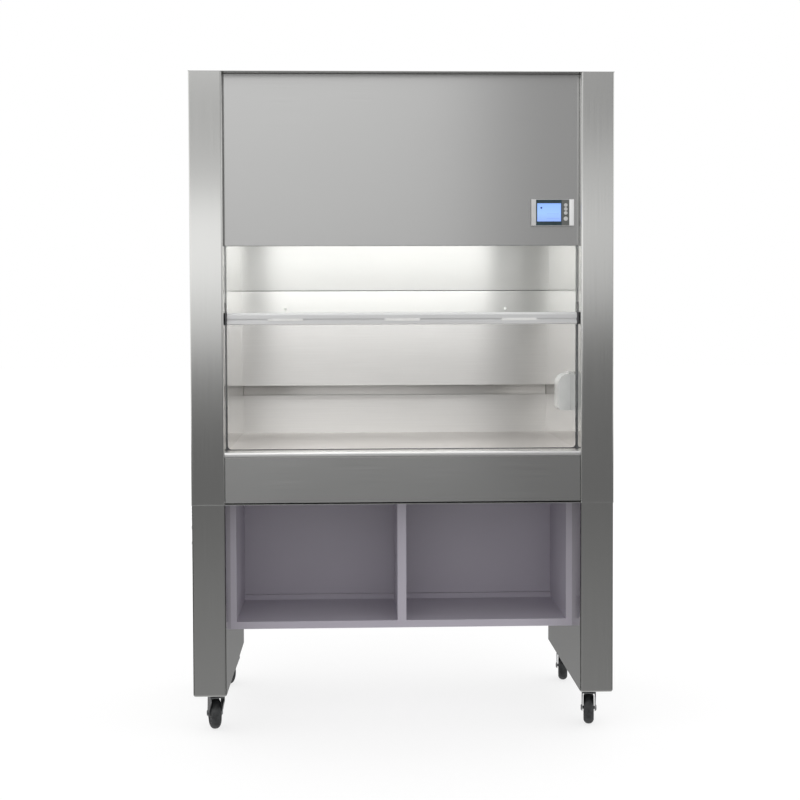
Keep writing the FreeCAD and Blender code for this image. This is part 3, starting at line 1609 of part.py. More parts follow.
def castor_wheel(name, x, y, turn):
    """Wheel with a rounded tread and dished sides, turned about its bore."""
    body = new_body(name + "_wheel")
    angle = math.radians(turn)
    spin = Rotation(Vector(0, 0, 1), turn)
    place(body, (
        x - size.fork_trail * math.sin(angle),
        y + size.fork_trail * math.cos(angle),
        size.wheel_radius,
    ), spin * TURN["X"])
    sketch = new_sketch(body, "XZ_Plane")
    side = size.wheel_width / 2
    bore = size.castor_axle + size.axle_play
    shoulder = size.wheel_radius - size.tyre_round / 2
    polygon(sketch, [
        (bore, -side), (size.wheel_hub, -side),
        (size.wheel_hub, -side + size.wheel_web), (size.wheel_rim, -side + size.wheel_web),
        (size.wheel_rim, -side), (shoulder, -side),
        (size.wheel_radius, -side + size.tyre_round), (size.wheel_radius, side - size.tyre_round),
        (shoulder, side), (size.wheel_rim, side),
        (size.wheel_rim, side - size.wheel_web), (size.wheel_hub, side - size.wheel_web),
        (size.wheel_hub, side), (bore, side),
    ])
    revolve(body, sketch)
    return body


keep(group("castor_plates", *(castor_plate(name, x, y) for name, x, y, turn in castors)), "castor_plates")
for name, x, y, turn in castors:
    keep(castor_fork(name, x, y, turn), f"{name}_fork")
    keep(castor_wheel(name, x, y, turn), f"{name}_wheel")

doc.recompute()

broken = [obj.Name for obj in doc.Objects if {"Invalid", "Error"} & set(obj.State)]
for piece in kept:
    if piece.Shape.isNull() or not piece.Shape.isValid() or not piece.Shape.Solids:
        broken.append(piece.Label)
if broken:
    raise SystemExit("failed: " + ", ".join(broken))

os.makedirs("parts", exist_ok=True)
for piece in kept:
    piece.Shape.exportStep(f"parts/{piece.Label}.step")
print(len(kept), "pieces written")
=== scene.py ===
import bmesh
import bpy
import json
import math
from mathutils import Matrix, Vector


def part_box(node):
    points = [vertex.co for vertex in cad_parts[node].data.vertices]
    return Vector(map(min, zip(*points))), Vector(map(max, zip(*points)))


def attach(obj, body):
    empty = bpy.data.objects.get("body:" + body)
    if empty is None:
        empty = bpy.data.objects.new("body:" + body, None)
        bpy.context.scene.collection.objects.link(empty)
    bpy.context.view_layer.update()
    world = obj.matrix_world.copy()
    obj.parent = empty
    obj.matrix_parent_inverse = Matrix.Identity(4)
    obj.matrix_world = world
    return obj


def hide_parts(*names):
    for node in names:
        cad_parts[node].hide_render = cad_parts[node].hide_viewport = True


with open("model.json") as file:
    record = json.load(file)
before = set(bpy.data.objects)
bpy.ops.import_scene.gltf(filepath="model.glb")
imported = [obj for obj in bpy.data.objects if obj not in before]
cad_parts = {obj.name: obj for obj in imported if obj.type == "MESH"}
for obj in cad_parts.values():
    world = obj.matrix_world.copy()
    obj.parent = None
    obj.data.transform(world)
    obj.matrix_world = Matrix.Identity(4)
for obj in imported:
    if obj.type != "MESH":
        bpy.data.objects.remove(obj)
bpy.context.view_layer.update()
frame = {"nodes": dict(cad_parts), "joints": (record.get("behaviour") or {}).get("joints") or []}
nodes = frame["nodes"]
joints = {joint["name"]: joint for joint in frame["joints"]}
print("frame loaded:", len(nodes), "nodes")


# Materials. Object coordinates are metres in the hood's own frame.

def linearColor(hexCode):  # sRGB hex to linear RGBA
    channels = [int(hexCode[i:i + 2], 16) / 255 for i in (1, 3, 5)]
    return [c / 12.92 if c <= 0.04045 else ((c + 0.055) / 1.055) ** 2.4 for c in channels] + [1]


def addNode(tree, kind, settings, inputs):  # a node with its settings and links
    node = tree.nodes.new(kind)
    for name, value in settings.items():
        setattr(node, name, value)
    for name, value in inputs.items():
        if isinstance(value, bpy.types.Node):
            value = value.outputs[0]
        if isinstance(value, bpy.types.NodeSocket):
            tree.links.new(value, node.inputs[name])
        else:
            node.inputs[name].default_value = value
    return node


def setRamp(node, stops):  # colour stops as (place, hex)
    elements = node.color_ramp.elements
    while len(elements) < len(stops):
        elements.new(0.5)
    for element, (place, color) in zip(elements, stops):
        element.position = place
        element.color = linearColor(color)
    return node


noiseRange = (0.3, 0.7)  # where the values of a noise texture mostly lie


def twoTones(tree, value, dark, light):
    return setRamp(addNode(tree, "ShaderNodeValToRGB", {}, {"Fac": value}), (
        (noiseRange[0], dark), (noiseRange[1], light),
    ))


def roughRange(tree, value, look):
    return addNode(tree, "ShaderNodeMapRange", {}, {
        "Value": value, "From Min": noiseRange[0], "From Max": noiseRange[1],
        "To Min": look["roughness"] - look["roughSpread"], "To Max": look["roughness"] + look["roughSpread"],
    })


def startMaterial(name):
    material = bpy.data.materials.new(name)
    material.use_nodes = True
    tree = material.node_tree
    tree.nodes.clear()
    coords = addNode(tree, "ShaderNodeTexCoord", {}, {})
    return material, tree, coords.outputs["Object"]


def finishMaterial(tree, shader):
    addNode(tree, "ShaderNodeOutputMaterial", {}, {"Surface": shader})


def brushedSteel(name, look):  # stainless sheet, ground with a belt along its length
    material, tree, place = startMaterial(name)
    across = 1 / look["lineSpacing"]
    along = 1 / look["lineLength"]
    stretch = {"vertical": (across, across, along), "horizontal": (along, across, across)}
    lines = addNode(tree, "ShaderNodeMapping", {}, {"Vector": place, "Scale": stretch[look["grain"]]})
    grain = addNode(tree, "ShaderNodeTexNoise", {}, {
        "Vector": lines, "Scale": 1, "Detail": 3, "Roughness": 0.6,
    })
    clouds = addNode(tree, "ShaderNodeTexNoise", {}, {
        "Vector": place, "Scale": 1 / look["cloudSize"], "Detail": 2,
    })
    tone = addNode(tree, "ShaderNodeMix", {"data_type": "FLOAT"}, {"Factor": 0.35, "A": grain, "B": clouds})
    color = twoTones(tree, tone, look["dark"], look["light"])
    rough = roughRange(tree, tone, look)
    bump = addNode(tree, "ShaderNodeBump", {}, {
        "Strength": look["bump"], "Distance": look["lineSpacing"] / 8, "Height": grain,
    })
    # the grain lies level on every sheet, and along X on a flat one
    surface = addNode(tree, "ShaderNodeNewGeometry", {}, {})
    level = addNode(tree, "ShaderNodeVectorMath", {"operation": "CROSS_PRODUCT"}, {
        0: surface.outputs["Normal"], 1: (0, 0, 1),
    })
    tangent = addNode(tree, "ShaderNodeVectorMath", {"operation": "ADD"}, {0: level, 1: (0.001, 0, 0)})
    shader = addNode(tree, "ShaderNodeBsdfPrincipled", {}, {
        "Base Color": color, "Metallic": 1, "Roughness": rough, "Normal": bump,
        "Anisotropic": look["anisotropy"],
        "Anisotropic Rotation": 0 if look["grain"] == "vertical" else 0.25,
        "Tangent": tangent,
    })
    finishMaterial(tree, shader)
    return material


def speckledFinish(name, look):  # moulded plastic, and cast, plated or enamelled metal
    material, tree, place = startMaterial(name)
    texture = addNode(tree, "ShaderNodeTexNoise", {}, {
        "Vector": place, "Scale": 1 / look["grainSize"], "Detail": 3,
    })
    clouds = addNode(tree, "ShaderNodeTexNoise", {}, {
        "Vector": place, "Scale": 1 / look["cloudSize"], "Detail": 2,
    })
    color = twoTones(tree, clouds, look["dark"], look["light"])
    rough = roughRange(tree, texture, look)
    bump = addNode(tree, "ShaderNodeBump", {}, {
        "Strength": look["bump"], "Distance": look["grainSize"] / 4, "Height": texture,
    })
    shader = addNode(tree, "ShaderNodeBsdfPrincipled", {}, {
        "Base Color": color, "Metallic": look.get("metallic", 0), "Roughness": rough, "Normal": bump,
    })
    finishMaterial(tree, shader)
    return material


columnSteel = brushedSteel("columnStainlessSteel", {
    # mirror-like along the grain, so a horizontal edge in the room stays sharp in it
    "grain": "vertical", "lineSpacing": 0.0016, "lineLength": 0.25, "cloudSize": 0.6,
    "dark": "#cacac8", "light": "#d2d2d0", "roughness": 0.16, "roughSpread": 0.02,
    "anisotropy": 0.9, "bump": 0.02,
})
panelSteel = brushedSteel("panelStainlessSteel", {
    # ground across, so the room is smeared up and down in it
    "grain": "horizontal", "lineSpacing": 0.0016, "lineLength": 0.25, "cloudSize": 0.6,
    "dark": "#c3c3c2", "light": "#cbcbca", "roughness": 0.2, "roughSpread": 0.02,
    "anisotropy": 0.96, "bump": 0.02,
})
apronSteelPaintedShade = brushedSteel("apronPaintedShadeSteel", {
    # the same sheet, its colour darkened as painted shade
    "grain": "horizontal", "lineSpacing": 0.0016, "lineLength": 0.25, "cloudSize": 0.6,
    "dark": "#b0b0af", "light": "#b8b8b7", "roughness": 0.2, "roughSpread": 0.02,
    "anisotropy": 0.9, "bump": 0.02,
})
sillSteelPaintedHighlight = brushedSteel("sillPaintedHighlightSteel", {
    # polished nose that arms rub against, lightened in colour as a painted highlight
    "grain": "horizontal", "lineSpacing": 0.0012, "lineLength": 0.3, "cloudSize": 0.4,
    "dark": "#e2e2e1", "light": "#ebebea", "roughness": 0.34, "roughSpread": 0.03,
    "anisotropy": 0.5, "bump": 0.02,
})
chamberSteel = brushedSteel("chamberStainlessSteel", {
    # satin lining that smears the lamp down the walls
    "grain": "horizontal", "lineSpacing": 0.0016, "lineLength": 0.2, "cloudSize": 0.5,
    "dark": "#cdccca", "light": "#d6d5d3", "roughness": 0.34, "roughSpread": 0.02,
    "anisotropy": 0.95, "bump": 0.02,
})
linerSteel = brushedSteel("linerStainlessSteel", {
    # polished side walls, in which the back wall's seams run on
    "grain": "vertical", "lineSpacing": 0.0016, "lineLength": 0.3, "cloudSize": 0.5,
    "dark": "#f0efed", "light": "#f6f5f3", "roughness": 0.17, "roughSpread": 0.02,
    "anisotropy": 0.9, "bump": 0.01,
})
worktopSteelPaintedReflection = brushedSteel("worktopPaintedReflectionSteel", {
    # dished worktop, its colour warmed as a painted reflection of the room's floor
    "grain": "horizontal", "lineSpacing": 0.0016, "lineLength": 0.2, "cloudSize": 0.4,
    "dark": "#d5d2cf", "light": "#dedbd8", "roughness": 0.42, "roughSpread": 0.04,
    "anisotropy": 0.4, "bump": 0.02,
})
anodisedAluminium = brushedSteel("anodisedAluminium", {
    # satin extrusion, nearly white beside the steel
    "grain": "horizontal", "lineSpacing": 0.0012, "lineLength": 0.3, "cloudSize": 0.3,
    "dark": "#f0f0f0", "light": "#f8f8f8", "roughness": 0.5, "roughSpread": 0.03,
    "anisotropy": 0.3, "bump": 0.02,
})
zincPlate = speckledFinish("zincPlatedSteel", {
    # bright plating with a cloudy grey bloom
    "grainSize": 0.002, "cloudSize": 0.02, "dark": "#77787a", "light": "#a0a1a2", "metallic": 1,
    "roughness": 0.3, "roughSpread": 0.08, "bump": 0.05,
})
galvanisedSheet = speckledFinish("galvanisedSheet", {
    # dull zinc with a spangle of about 8 mm
    "grainSize": 0.008, "cloudSize": 0.008, "dark": "#9c9fa1", "light": "#b9bcbd", "metallic": 1,
    "roughness": 0.45, "roughSpread": 0.08, "bump": 0.02,
})
castIron = speckledFinish("castIronBar", {
    # rough, nearly black bar as it leaves the mould
    "grainSize": 0.003, "cloudSize": 0.05, "dark": "#2b2b2d", "light": "#3a3a3b", "metallic": 1,
    "roughness": 0.62, "roughSpread": 0.08, "bump": 0.3,
})
motorEnamel = speckledFinish("motorEnamel", {
    # grey-blue stoved enamel
    "grainSize": 0.002, "cloudSize": 0.1, "dark": "#3f464d", "light": "#4a5158",
    "roughness": 0.38, "roughSpread": 0.05, "bump": 0.06,
})
storageCoat = speckledFinish("storageLaminate", {
    # satin grey laminate with a lilac cast
    "grainSize": 0.0015, "cloudSize": 0.5, "dark": "#bab5c0", "light": "#c2bdc8",
    "roughness": 0.42, "roughSpread": 0.04, "bump": 0.03,
})
guideNylon = speckledFinish("guideNylon", {
    # waxy dark grey, worn lighter
    "grainSize": 0.001, "cloudSize": 0.02, "dark": "#545456", "light": "#646466",
    "roughness": 0.45, "roughSpread": 0.06, "bump": 0.1,
})
whiteNylon = speckledFinish("whiteNylon", {
    # milky turned nylon
    "grainSize": 0.001, "cloudSize": 0.02, "dark": "#dcdbd4", "light": "#e6e5df",
    "roughness": 0.4, "roughSpread": 0.05, "bump": 0.05,
})
gripPlastic = speckledFinish("palePolypropylene", {
    # pale glossy inserts
    "grainSize": 0.001, "cloudSize": 0.03, "dark": "#e9e9e7", "light": "#f2f2f0",
    "roughness": 0.28, "roughSpread": 0.04, "bump": 0.04,
})
edgeRubber = speckledFinish("extrudedRubber", {
    # matt dark strip
    "grainSize": 0.0012, "cloudSize": 0.02, "dark": "#626264", "light": "#727274",
    "roughness": 0.6, "roughSpread": 0.05, "bump": 0.1,
})
tyreRubber = speckledFinish("castorTyreRubber", {
    # dusty dark grey tread
    "grainSize": 0.0015, "cloudSize": 0.015, "dark": "#2c2d2e", "light": "#47494a",
    "roughness": 0.55, "roughSpread": 0.1, "bump": 0.15,
})
controlFilm = speckledFinish("controllerFilm", {
    # printed polyester film, nearly black with a blue-green cast
    "grainSize": 0.001, "cloudSize": 0.03, "dark": "#22383f", "light": "#2c444c",
    "roughness": 0.3, "roughSpread": 0.04, "bump": 0.04,
})
keypadFilm = speckledFinish("keypadFilm", {
    # mid grey matt film round the keys
    "grainSize": 0.001, "cloudSize": 0.03, "dark": "#646664", "light": "#6c6e6c",
    "roughness": 0.45, "roughSpread": 0.04, "bump": 0.06,
})
capPlastic = speckledFinish("glossyAbsCap", {
    # polished pale ends of the controller
    "grainSize": 0.001, "cloudSize": 0.05, "dark": "#d0d0d0", "light": "#dadada",
    "roughness": 0.2, "roughSpread": 0.03, "bump": 0.02,
})
whiteCap = speckledFinish("glossyWhiteCap", {
    # polished white end, where the keys are
    "grainSize": 0.001, "cloudSize": 0.05, "dark": "#fafafa", "light": "#ffffff",
    "roughness": 0.2, "roughSpread": 0.03, "bump": 0.02,
})
wheelNylon = speckledFinish("wheelPolypropylene", {
    # grey wheel body, a shade lighter than its tread
    "grainSize": 0.0012, "cloudSize": 0.02, "dark": "#4c4d4e", "light": "#5c5d5e",
    "roughness": 0.45, "roughSpread": 0.05, "bump": 0.06,
})
screenInk = speckledFinish("screenInk", {
    # a lit crystal segment, dark blue
    "grainSize": 0.001, "cloudSize": 0.01, "dark": "#2a4a8c", "light": "#31529a",
    "roughness": 0.15, "roughSpread": 0.02, "bump": 0,
})
screenTint = speckledFinish("screenTint", {
    # an unlit segment, a little deeper than the glass
    "grainSize": 0.001, "cloudSize": 0.01, "dark": "#8caaf0", "light": "#94b2f4",
    "roughness": 0.15, "roughSpread": 0.02, "bump": 0,
})
controlAbs = speckledFinish("controllerAbs", {
    # pale grey moulding with a fine spark texture
    "grainSize": 0.0012, "cloudSize": 0.05, "dark": "#c2c2c2", "light": "#cccccc",
    "roughness": 0.4, "roughSpread": 0.05, "bump": 0.15,
})
buttonSilicone = speckledFinish("buttonSilicone", {
    # soft pale keys
    "grainSize": 0.0012, "cloudSize": 0.01, "dark": "#cfcfcf", "light": "#dedede",
    "roughness": 0.5, "roughSpread": 0.05, "bump": 0.05,
})
socketPlastic = speckledFinish("socketPolycarbonate", {
    # glossy white moulding
    "grainSize": 0.001, "cloudSize": 0.05, "dark": "#dadbd9", "light": "#e4e5e3",
    "roughness": 0.22, "roughSpread": 0.03, "bump": 0.02,
})
hosePlastic = speckledFinish("hosePolypropylene", {
    # white hose, a little grey in its grooves
    "grainSize": 0.001, "cloudSize": 0.02, "dark": "#d2d3d3", "light": "#e8e9e8",
    "roughness": 0.4, "roughSpread": 0.05, "bump": 0.04,
})
pipeVinyl = speckledFinish("pipeVinyl", {
    # plain grey pipe
    "grainSize": 0.001, "cloudSize": 0.04, "dark": "#8a8c8d", "light": "#9a9c9d",
    "roughness": 0.35, "roughSpread": 0.04, "bump": 0.03,
})


def toughenedGlass():  # clear float glass, faintly green in its edges
    material, tree, place = startMaterial("toughenedGlass")
    waves = addNode(tree, "ShaderNodeTexNoise", {}, {"Vector": place, "Scale": 3, "Detail": 1})
    color = twoTones(tree, waves, "#fbfdfc", "#fefffe")
    bump = addNode(tree, "ShaderNodeBump", {}, {"Strength": 0.02, "Distance": 0.001, "Height": waves})
    shader = addNode(tree, "ShaderNodeBsdfPrincipled", {}, {
        "Base Color": color, "Roughness": 0, "IOR": 1.5, "Transmission Weight": 1, "Normal": bump,
    })
    finishMaterial(tree, shader)
    return material


def lampGlass():  # fluorescent tube, lit
    material, tree, place = startMaterial("lampPhosphorGlass")
    powder = addNode(tree, "ShaderNodeTexNoise", {}, {"Vector": place, "Scale": 60, "Detail": 2})
    color = twoTones(tree, powder, "#f4f6f5", "#fcfdfc")
    shader = addNode(tree, "ShaderNodeBsdfPrincipled", {}, {
        "Base Color": color, "Roughness": 0.3, "Emission Color": color, "Emission Strength": 1,
    })
    finishMaterial(tree, shader)
    return material


def displayGlass():  # backlit blue liquid crystal, a little violet towards its lower edge
    material, tree, place = startMaterial("liquidCrystal")
    low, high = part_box("display_screen")
    split = addNode(tree, "ShaderNodeSeparateXYZ", {}, {"Vector": place})
    rise = addNode(tree, "ShaderNodeMapRange", {}, {
        "Value": split.outputs["Z"], "From Min": low.z, "From Max": high.z,
    })
    fine = addNode(tree, "ShaderNodeTexNoise", {}, {"Vector": place, "Scale": 400, "Detail": 1})
    blend = addNode(tree, "ShaderNodeMix", {"data_type": "FLOAT"}, {"Factor": 0.08, "A": rise, "B": fine})
    color = setRamp(addNode(tree, "ShaderNodeValToRGB", {}, {"Fac": blend}), (
        (0.0, "#93b0fb"), (0.45, "#9cc2ff"), (1.0, "#8fb8ff"),
    ))
    shader = addNode(tree, "ShaderNodeBsdfPrincipled", {}, {
        "Base Color": color, "Roughness": 0.12, "Emission Color": color, "Emission Strength": 0.35,
    })
    finishMaterial(tree, shader)
    return material


finishes = {
    "left_side_shell": columnSteel, "right_side_shell": columnSteel,
    "base_left_panel": columnSteel, "base_right_panel": columnSteel,
    "rear_panel": columnSteel, "top_panel": columnSteel, "bottom_panel": panelSteel,
    "front_panel": panelSteel, "apron_panel": apronSteelPaintedShade, "front_sill": sillSteelPaintedHighlight,
    "lamp_housing": galvanisedSheet, "side_liners": linerSteel, "upper_baffle": chamberSteel,
    "middle_baffle": chamberSteel, "lower_baffle": chamberSteel, "chamber_ceiling": chamberSteel,
    "work_surface": worktopSteelPaintedReflection, "sash_glass": toughenedGlass(), "sash_rail": anodisedAluminium,
    "sash_grips": gripPlastic, "sash_shoes": guideNylon, "opening_trim": edgeRubber,
    "sash_tracks": galvanisedSheet, "pulley_brackets": zincPlate, "blower_housing": galvanisedSheet,
    "duct_collar": galvanisedSheet, "sash_cables": zincPlate, "weight_cables": zincPlate,
    "cable_wraps": zincPlate, "impeller": galvanisedSheet, "castor_plates": zincPlate,
    "left_counterweight": castIron, "right_counterweight": castIron,
    "left_pulley": whiteNylon, "right_pulley": whiteNylon, "blower_motor": motorEnamel,
    "lamp_tube": lampGlass(), "controller_housing": controlAbs, "display_screen": displayGlass(),
    "button_start": buttonSilicone, "button_down": buttonSilicone, "button_up": buttonSilicone,
    "button_lamp": buttonSilicone, "socket_box": socketPlastic, "socket_faceplate": socketPlastic,
    "socket_lid": socketPlastic, "drain_hose": hosePlastic, "drain_fittings": hosePlastic,
    "drain_pipe": pipeVinyl, "storage_boards": storageCoat, "storage_floor": storageCoat,
    "storage_back": storageCoat,
}
castorNames = ("front_left", "front_right", "rear_left", "rear_right")
for corner in castorNames:
    finishes[corner + "_fork"] = zincPlate
    finishes[corner + "_wheel"] = tyreRubber
for name, material in finishes.items():
    slots = nodes[name].data.materials
    for index in range(len(slots)):
        slots[index] = material
print("finishes on", len(finishes), "nodes")


# Detail pieces, each ridden by the body that it is fixed to

shaping = {"smoothBelow": 35, "bevelSegments": 3, "spinSteps": 48, "roundSteps": 32, "recessRim": 0.35}


def newPiece(name, shape, materials, body):
    for face in shape.faces:
        face.smooth = True
    for edge in shape.edges:
        edge.smooth = edge.calc_face_angle(0) < math.radians(shaping["smoothBelow"])
    mesh = bpy.data.meshes.new(name)
    shape.to_mesh(mesh)
    shape.free()
    for material in materials:
        mesh.materials.append(material)
    piece = bpy.data.objects.new(name, mesh)
    bpy.context.scene.collection.objects.link(piece)
    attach(piece, body)
    return piece


def addBlock(shape, low, high, edge):  # a block with rounded edges
    size = Vector(high) - Vector(low)
    made = bmesh.ops.create_cube(shape, size=1)
    bmesh.ops.scale(shape, verts=made["verts"], vec=size)
    bmesh.ops.translate(shape, verts=made["verts"], vec=(Vector(high) + Vector(low)) / 2)
    edges = list({e for vert in made["verts"] for e in vert.link_edges})
    bmesh.ops.bevel(
        shape, geom=edges, affect="EDGES", offset=edge, segments=shaping["bevelSegments"], profile=0.5,
        material=-1,
    )


def addBolt(shape, place, aim, look):  # a screw or bolt head, facing along aim
    turn = Vector(aim).to_track_quat("Z", "Y").to_matrix().to_4x4()
    seat = Matrix.Translation(Vector(place) + Vector(aim) * look["height"] / 2) @ turn
    made = bmesh.ops.create_cone(
        shape, cap_ends=True, segments=look["sides"], radius1=look["radius"],
        radius2=look["radius"] * look["crown"], depth=look["height"], matrix=seat,
    )
    faces = {face for vert in made["verts"] for face in vert.link_faces}
    top = max(faces, key=lambda face: face.calc_center_median().dot(Vector(aim)))
    if look["recess"]:
        bmesh.ops.inset_region(shape, faces=[top], thickness=look["radius"] * shaping["recessRim"])
        sunk = bmesh.ops.extrude_face_region(shape, geom=[top])
        bmesh.ops.delete(shape, geom=[top], context="FACES_ONLY")
        verts = [item for item in sunk["geom"] if isinstance(item, bmesh.types.BMVert)]
        bmesh.ops.translate(shape, verts=verts, vec=Vector(aim) * -look["recess"])


def addRing(shape, place, profile):  # corners (radius, height) spun about the Z axis of place
    corners = [shape.verts.new((radius, 0, height)) for radius, height in profile]
    edges = [shape.edges.new((corners[i - 1], corners[i])) for i in range(len(corners))]
    before = set(shape.faces)
    bmesh.ops.spin(
        shape, geom=corners + edges, cent=(0, 0, 0), axis=(0, 0, 1), angle=math.tau,
        steps=shaping["spinSteps"], use_merge=True,
    )
    made = [face for face in shape.faces if face not in before]
    bmesh.ops.recalc_face_normals(shape, faces=made)
    verts = list({vert for face in made for vert in face.verts})
    bmesh.ops.transform(shape, verts=verts, matrix=place)


def addPlate(shape, outlines, low, high):  # outlines are loops of (x, z) corners, the first round all others
    edges = []
    for outline in outlines:
        corners = [shape.verts.new((x, low, z)) for x, z in outline]
        edges += [shape.edges.new((corners[i - 1], corners[i])) for i in range(len(corners))]
    filled = bmesh.ops.triangle_fill(shape, edges=edges, use_beauty=True)
    faces = [item for item in filled["geom"] if isinstance(item, bmesh.types.BMFace)]
    grown = bmesh.ops.extrude_face_region(shape, geom=faces)
    verts = [item for item in grown["geom"] if isinstance(item, bmesh.types.BMVert)]
    bmesh.ops.translate(shape, verts=verts, vec=(0, high - low, 0))
    bmesh.ops.recalc_face_normals(shape, faces=shape.faces)


def roundOutline(x, z, radius):
    steps = shaping["roundSteps"]
    turns = [math.tau * i / steps for i in range(steps)]
    return [(x + radius * math.cos(turn), z + radius * math.sin(turn)) for turn in turns]


def boxOutline(left, bottom, right, top):
    return [(left, bottom), (right, bottom), (right, top), (left, top)]


# Controller front: pale end caps, a dark film with a window, and a grey keypad
fascia = {
    "capWidth": 0.0145, "capProud": 0.0016, "capSunk": 0.004, "capEdge": 0.0007,
    "filmProud": 0.0004, "filmEdge": 0.0012, "keypadWidth": 0.0235, "keyGap": 0.0006,
    "inkProud": 0.0001, "iconRadius": 0.003, "iconInset": (0.013, 0.014),
    "barCount": 2, "barWidth": 0.0007, "barLength": 0.038, "barInset": 0.006, "barRise": 0.009,
    "barPitch": 0.014,
}
caseLow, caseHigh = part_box("controller_housing")
screenLow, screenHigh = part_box("display_screen")
faceY = caseLow.y


def controllerFront():
    for name, left, right, finish in (
        ("leftCap", caseLow.x, caseLow.x + fascia["capWidth"], capPlastic),
        ("rightCap", caseHigh.x - fascia["capWidth"], caseHigh.x, whiteCap),
    ):
        cap = bmesh.new()
        addBlock(
            cap, (left, faceY - fascia["capProud"], caseLow.z),
            (right, faceY + fascia["capSunk"], caseHigh.z), fascia["capEdge"],
        )
        newPiece(name, cap, [finish], "cabinet")

    left = caseLow.x + fascia["capWidth"]
    right = caseHigh.x - fascia["capWidth"]
    split = right - fascia["keypadWidth"]
    bottom = caseLow.z + fascia["filmEdge"]
    top = caseHigh.z - fascia["filmEdge"]
    film = bmesh.new()
    addPlate(film, [
        boxOutline(left, bottom, split, top), boxOutline(screenLow.x, screenLow.z, screenHigh.x, screenHigh.z),
    ], faceY, faceY - fascia["filmProud"])
    newPiece("controllerFilm", film, [controlFilm], "cabinet")

    keypad = bmesh.new()
    holes = []
    for name in ("button_start", "button_down", "button_up", "button_lamp"):
        low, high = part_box(name)
        holes.append(roundOutline(
            (low.x + high.x) / 2, (low.z + high.z) / 2, (high.x - low.x) / 2 + fascia["keyGap"]
        ))
    addPlate(keypad, [boxOutline(split, bottom, right, top)] + holes, faceY, faceY - fascia["filmProud"])
    newPiece("keypadFilm", keypad, [keypadFilm], "cabinet")

    icon = bmesh.new()
    x = screenLow.x + fascia["iconInset"][0]
    z = screenHigh.z - fascia["iconInset"][1]
    inkFront = screenLow.y - fascia["inkProud"]
    addPlate(icon, [roundOutline(x, z, fascia["iconRadius"])], screenLow.y, inkFront)
    newPiece("screenIcon", icon, [screenInk], "cabinet")

    bars = bmesh.new()
    barEnd = screenHigh.x - fascia["barInset"]
    for index in range(fascia["barCount"]):
        low = screenLow.z + fascia["barRise"] + fascia["barPitch"] * index
        addPlate(bars, [boxOutline(
            barEnd - fascia["barLength"], low, barEnd, low + fascia["barWidth"],
        )], screenLow.y, inkFront)
    newPiece("screenBars", bars, [screenTint], "cabinet")


controllerFront()
print("controller front ready")

# Castors: wheels with a rounded tread, race rings, plate bolts, axle nuts and kingpin rivets
castorFit = {
    "wheelRadius": 0.05, "halfWidth": 0.016, "treadRound": 0.0145, "treadInner": 0.038, "webHalf": 0.011,
    "treadArcs": 6, "treadStep": 0.0008, "rimStep": 0.001, "rimSlope": 0.002, "hubSlope": 0.001,
    "hubRadius": 0.015, "boreRadius": 0.00505, "forkHalf": 0.022,
    "raceRadius": 0.0262, "raceWall": 0.0032, "raceGroove": 0.001, "raceLow": 0.1152, "raceHigh": 0.1236,
    "plateLow": 0.124, "boltSpread": 0.027,
    "plateBolt": {"sides": 6, "radius": 0.0062, "crown": 0.92, "height": 0.004, "recess": 0},
    "axleNut": {"sides": 6, "radius": 0.0092, "crown": 0.94, "height": 0.0026, "recess": 0},
    "rivetRadius": 0.0095, "rivetBore": 0.0055, "rivetEdge": 0.001, "rivetCrown": 0.8,
    "rivetTop": 0.1112, "rivetDrop": 0.0035,
}


def wheelProfile(fit):  # corners (radius, side) from the bore round the tread and back
    side, web, shoulder = fit["halfWidth"], fit["webHalf"], fit["treadRound"]
    turns = [math.radians(90 * step / fit["treadArcs"]) for step in range(fit["treadArcs"] + 1)]
    arc = [
        (fit["wheelRadius"] - shoulder * (1 - math.sin(turn)), side - shoulder * (1 - math.cos(turn)))
        for turn in turns
    ]
    half = [
        (fit["boreRadius"], side), (fit["hubRadius"], side), (fit["hubRadius"] + fit["hubSlope"], web),
        (fit["treadInner"] - fit["rimSlope"], web), (fit["treadInner"], side - fit["rimStep"]),
        (fit["treadInner"] + fit["treadStep"], side),
    ] + arc
    return half + [(radius, -across) for radius, across in reversed(half)]


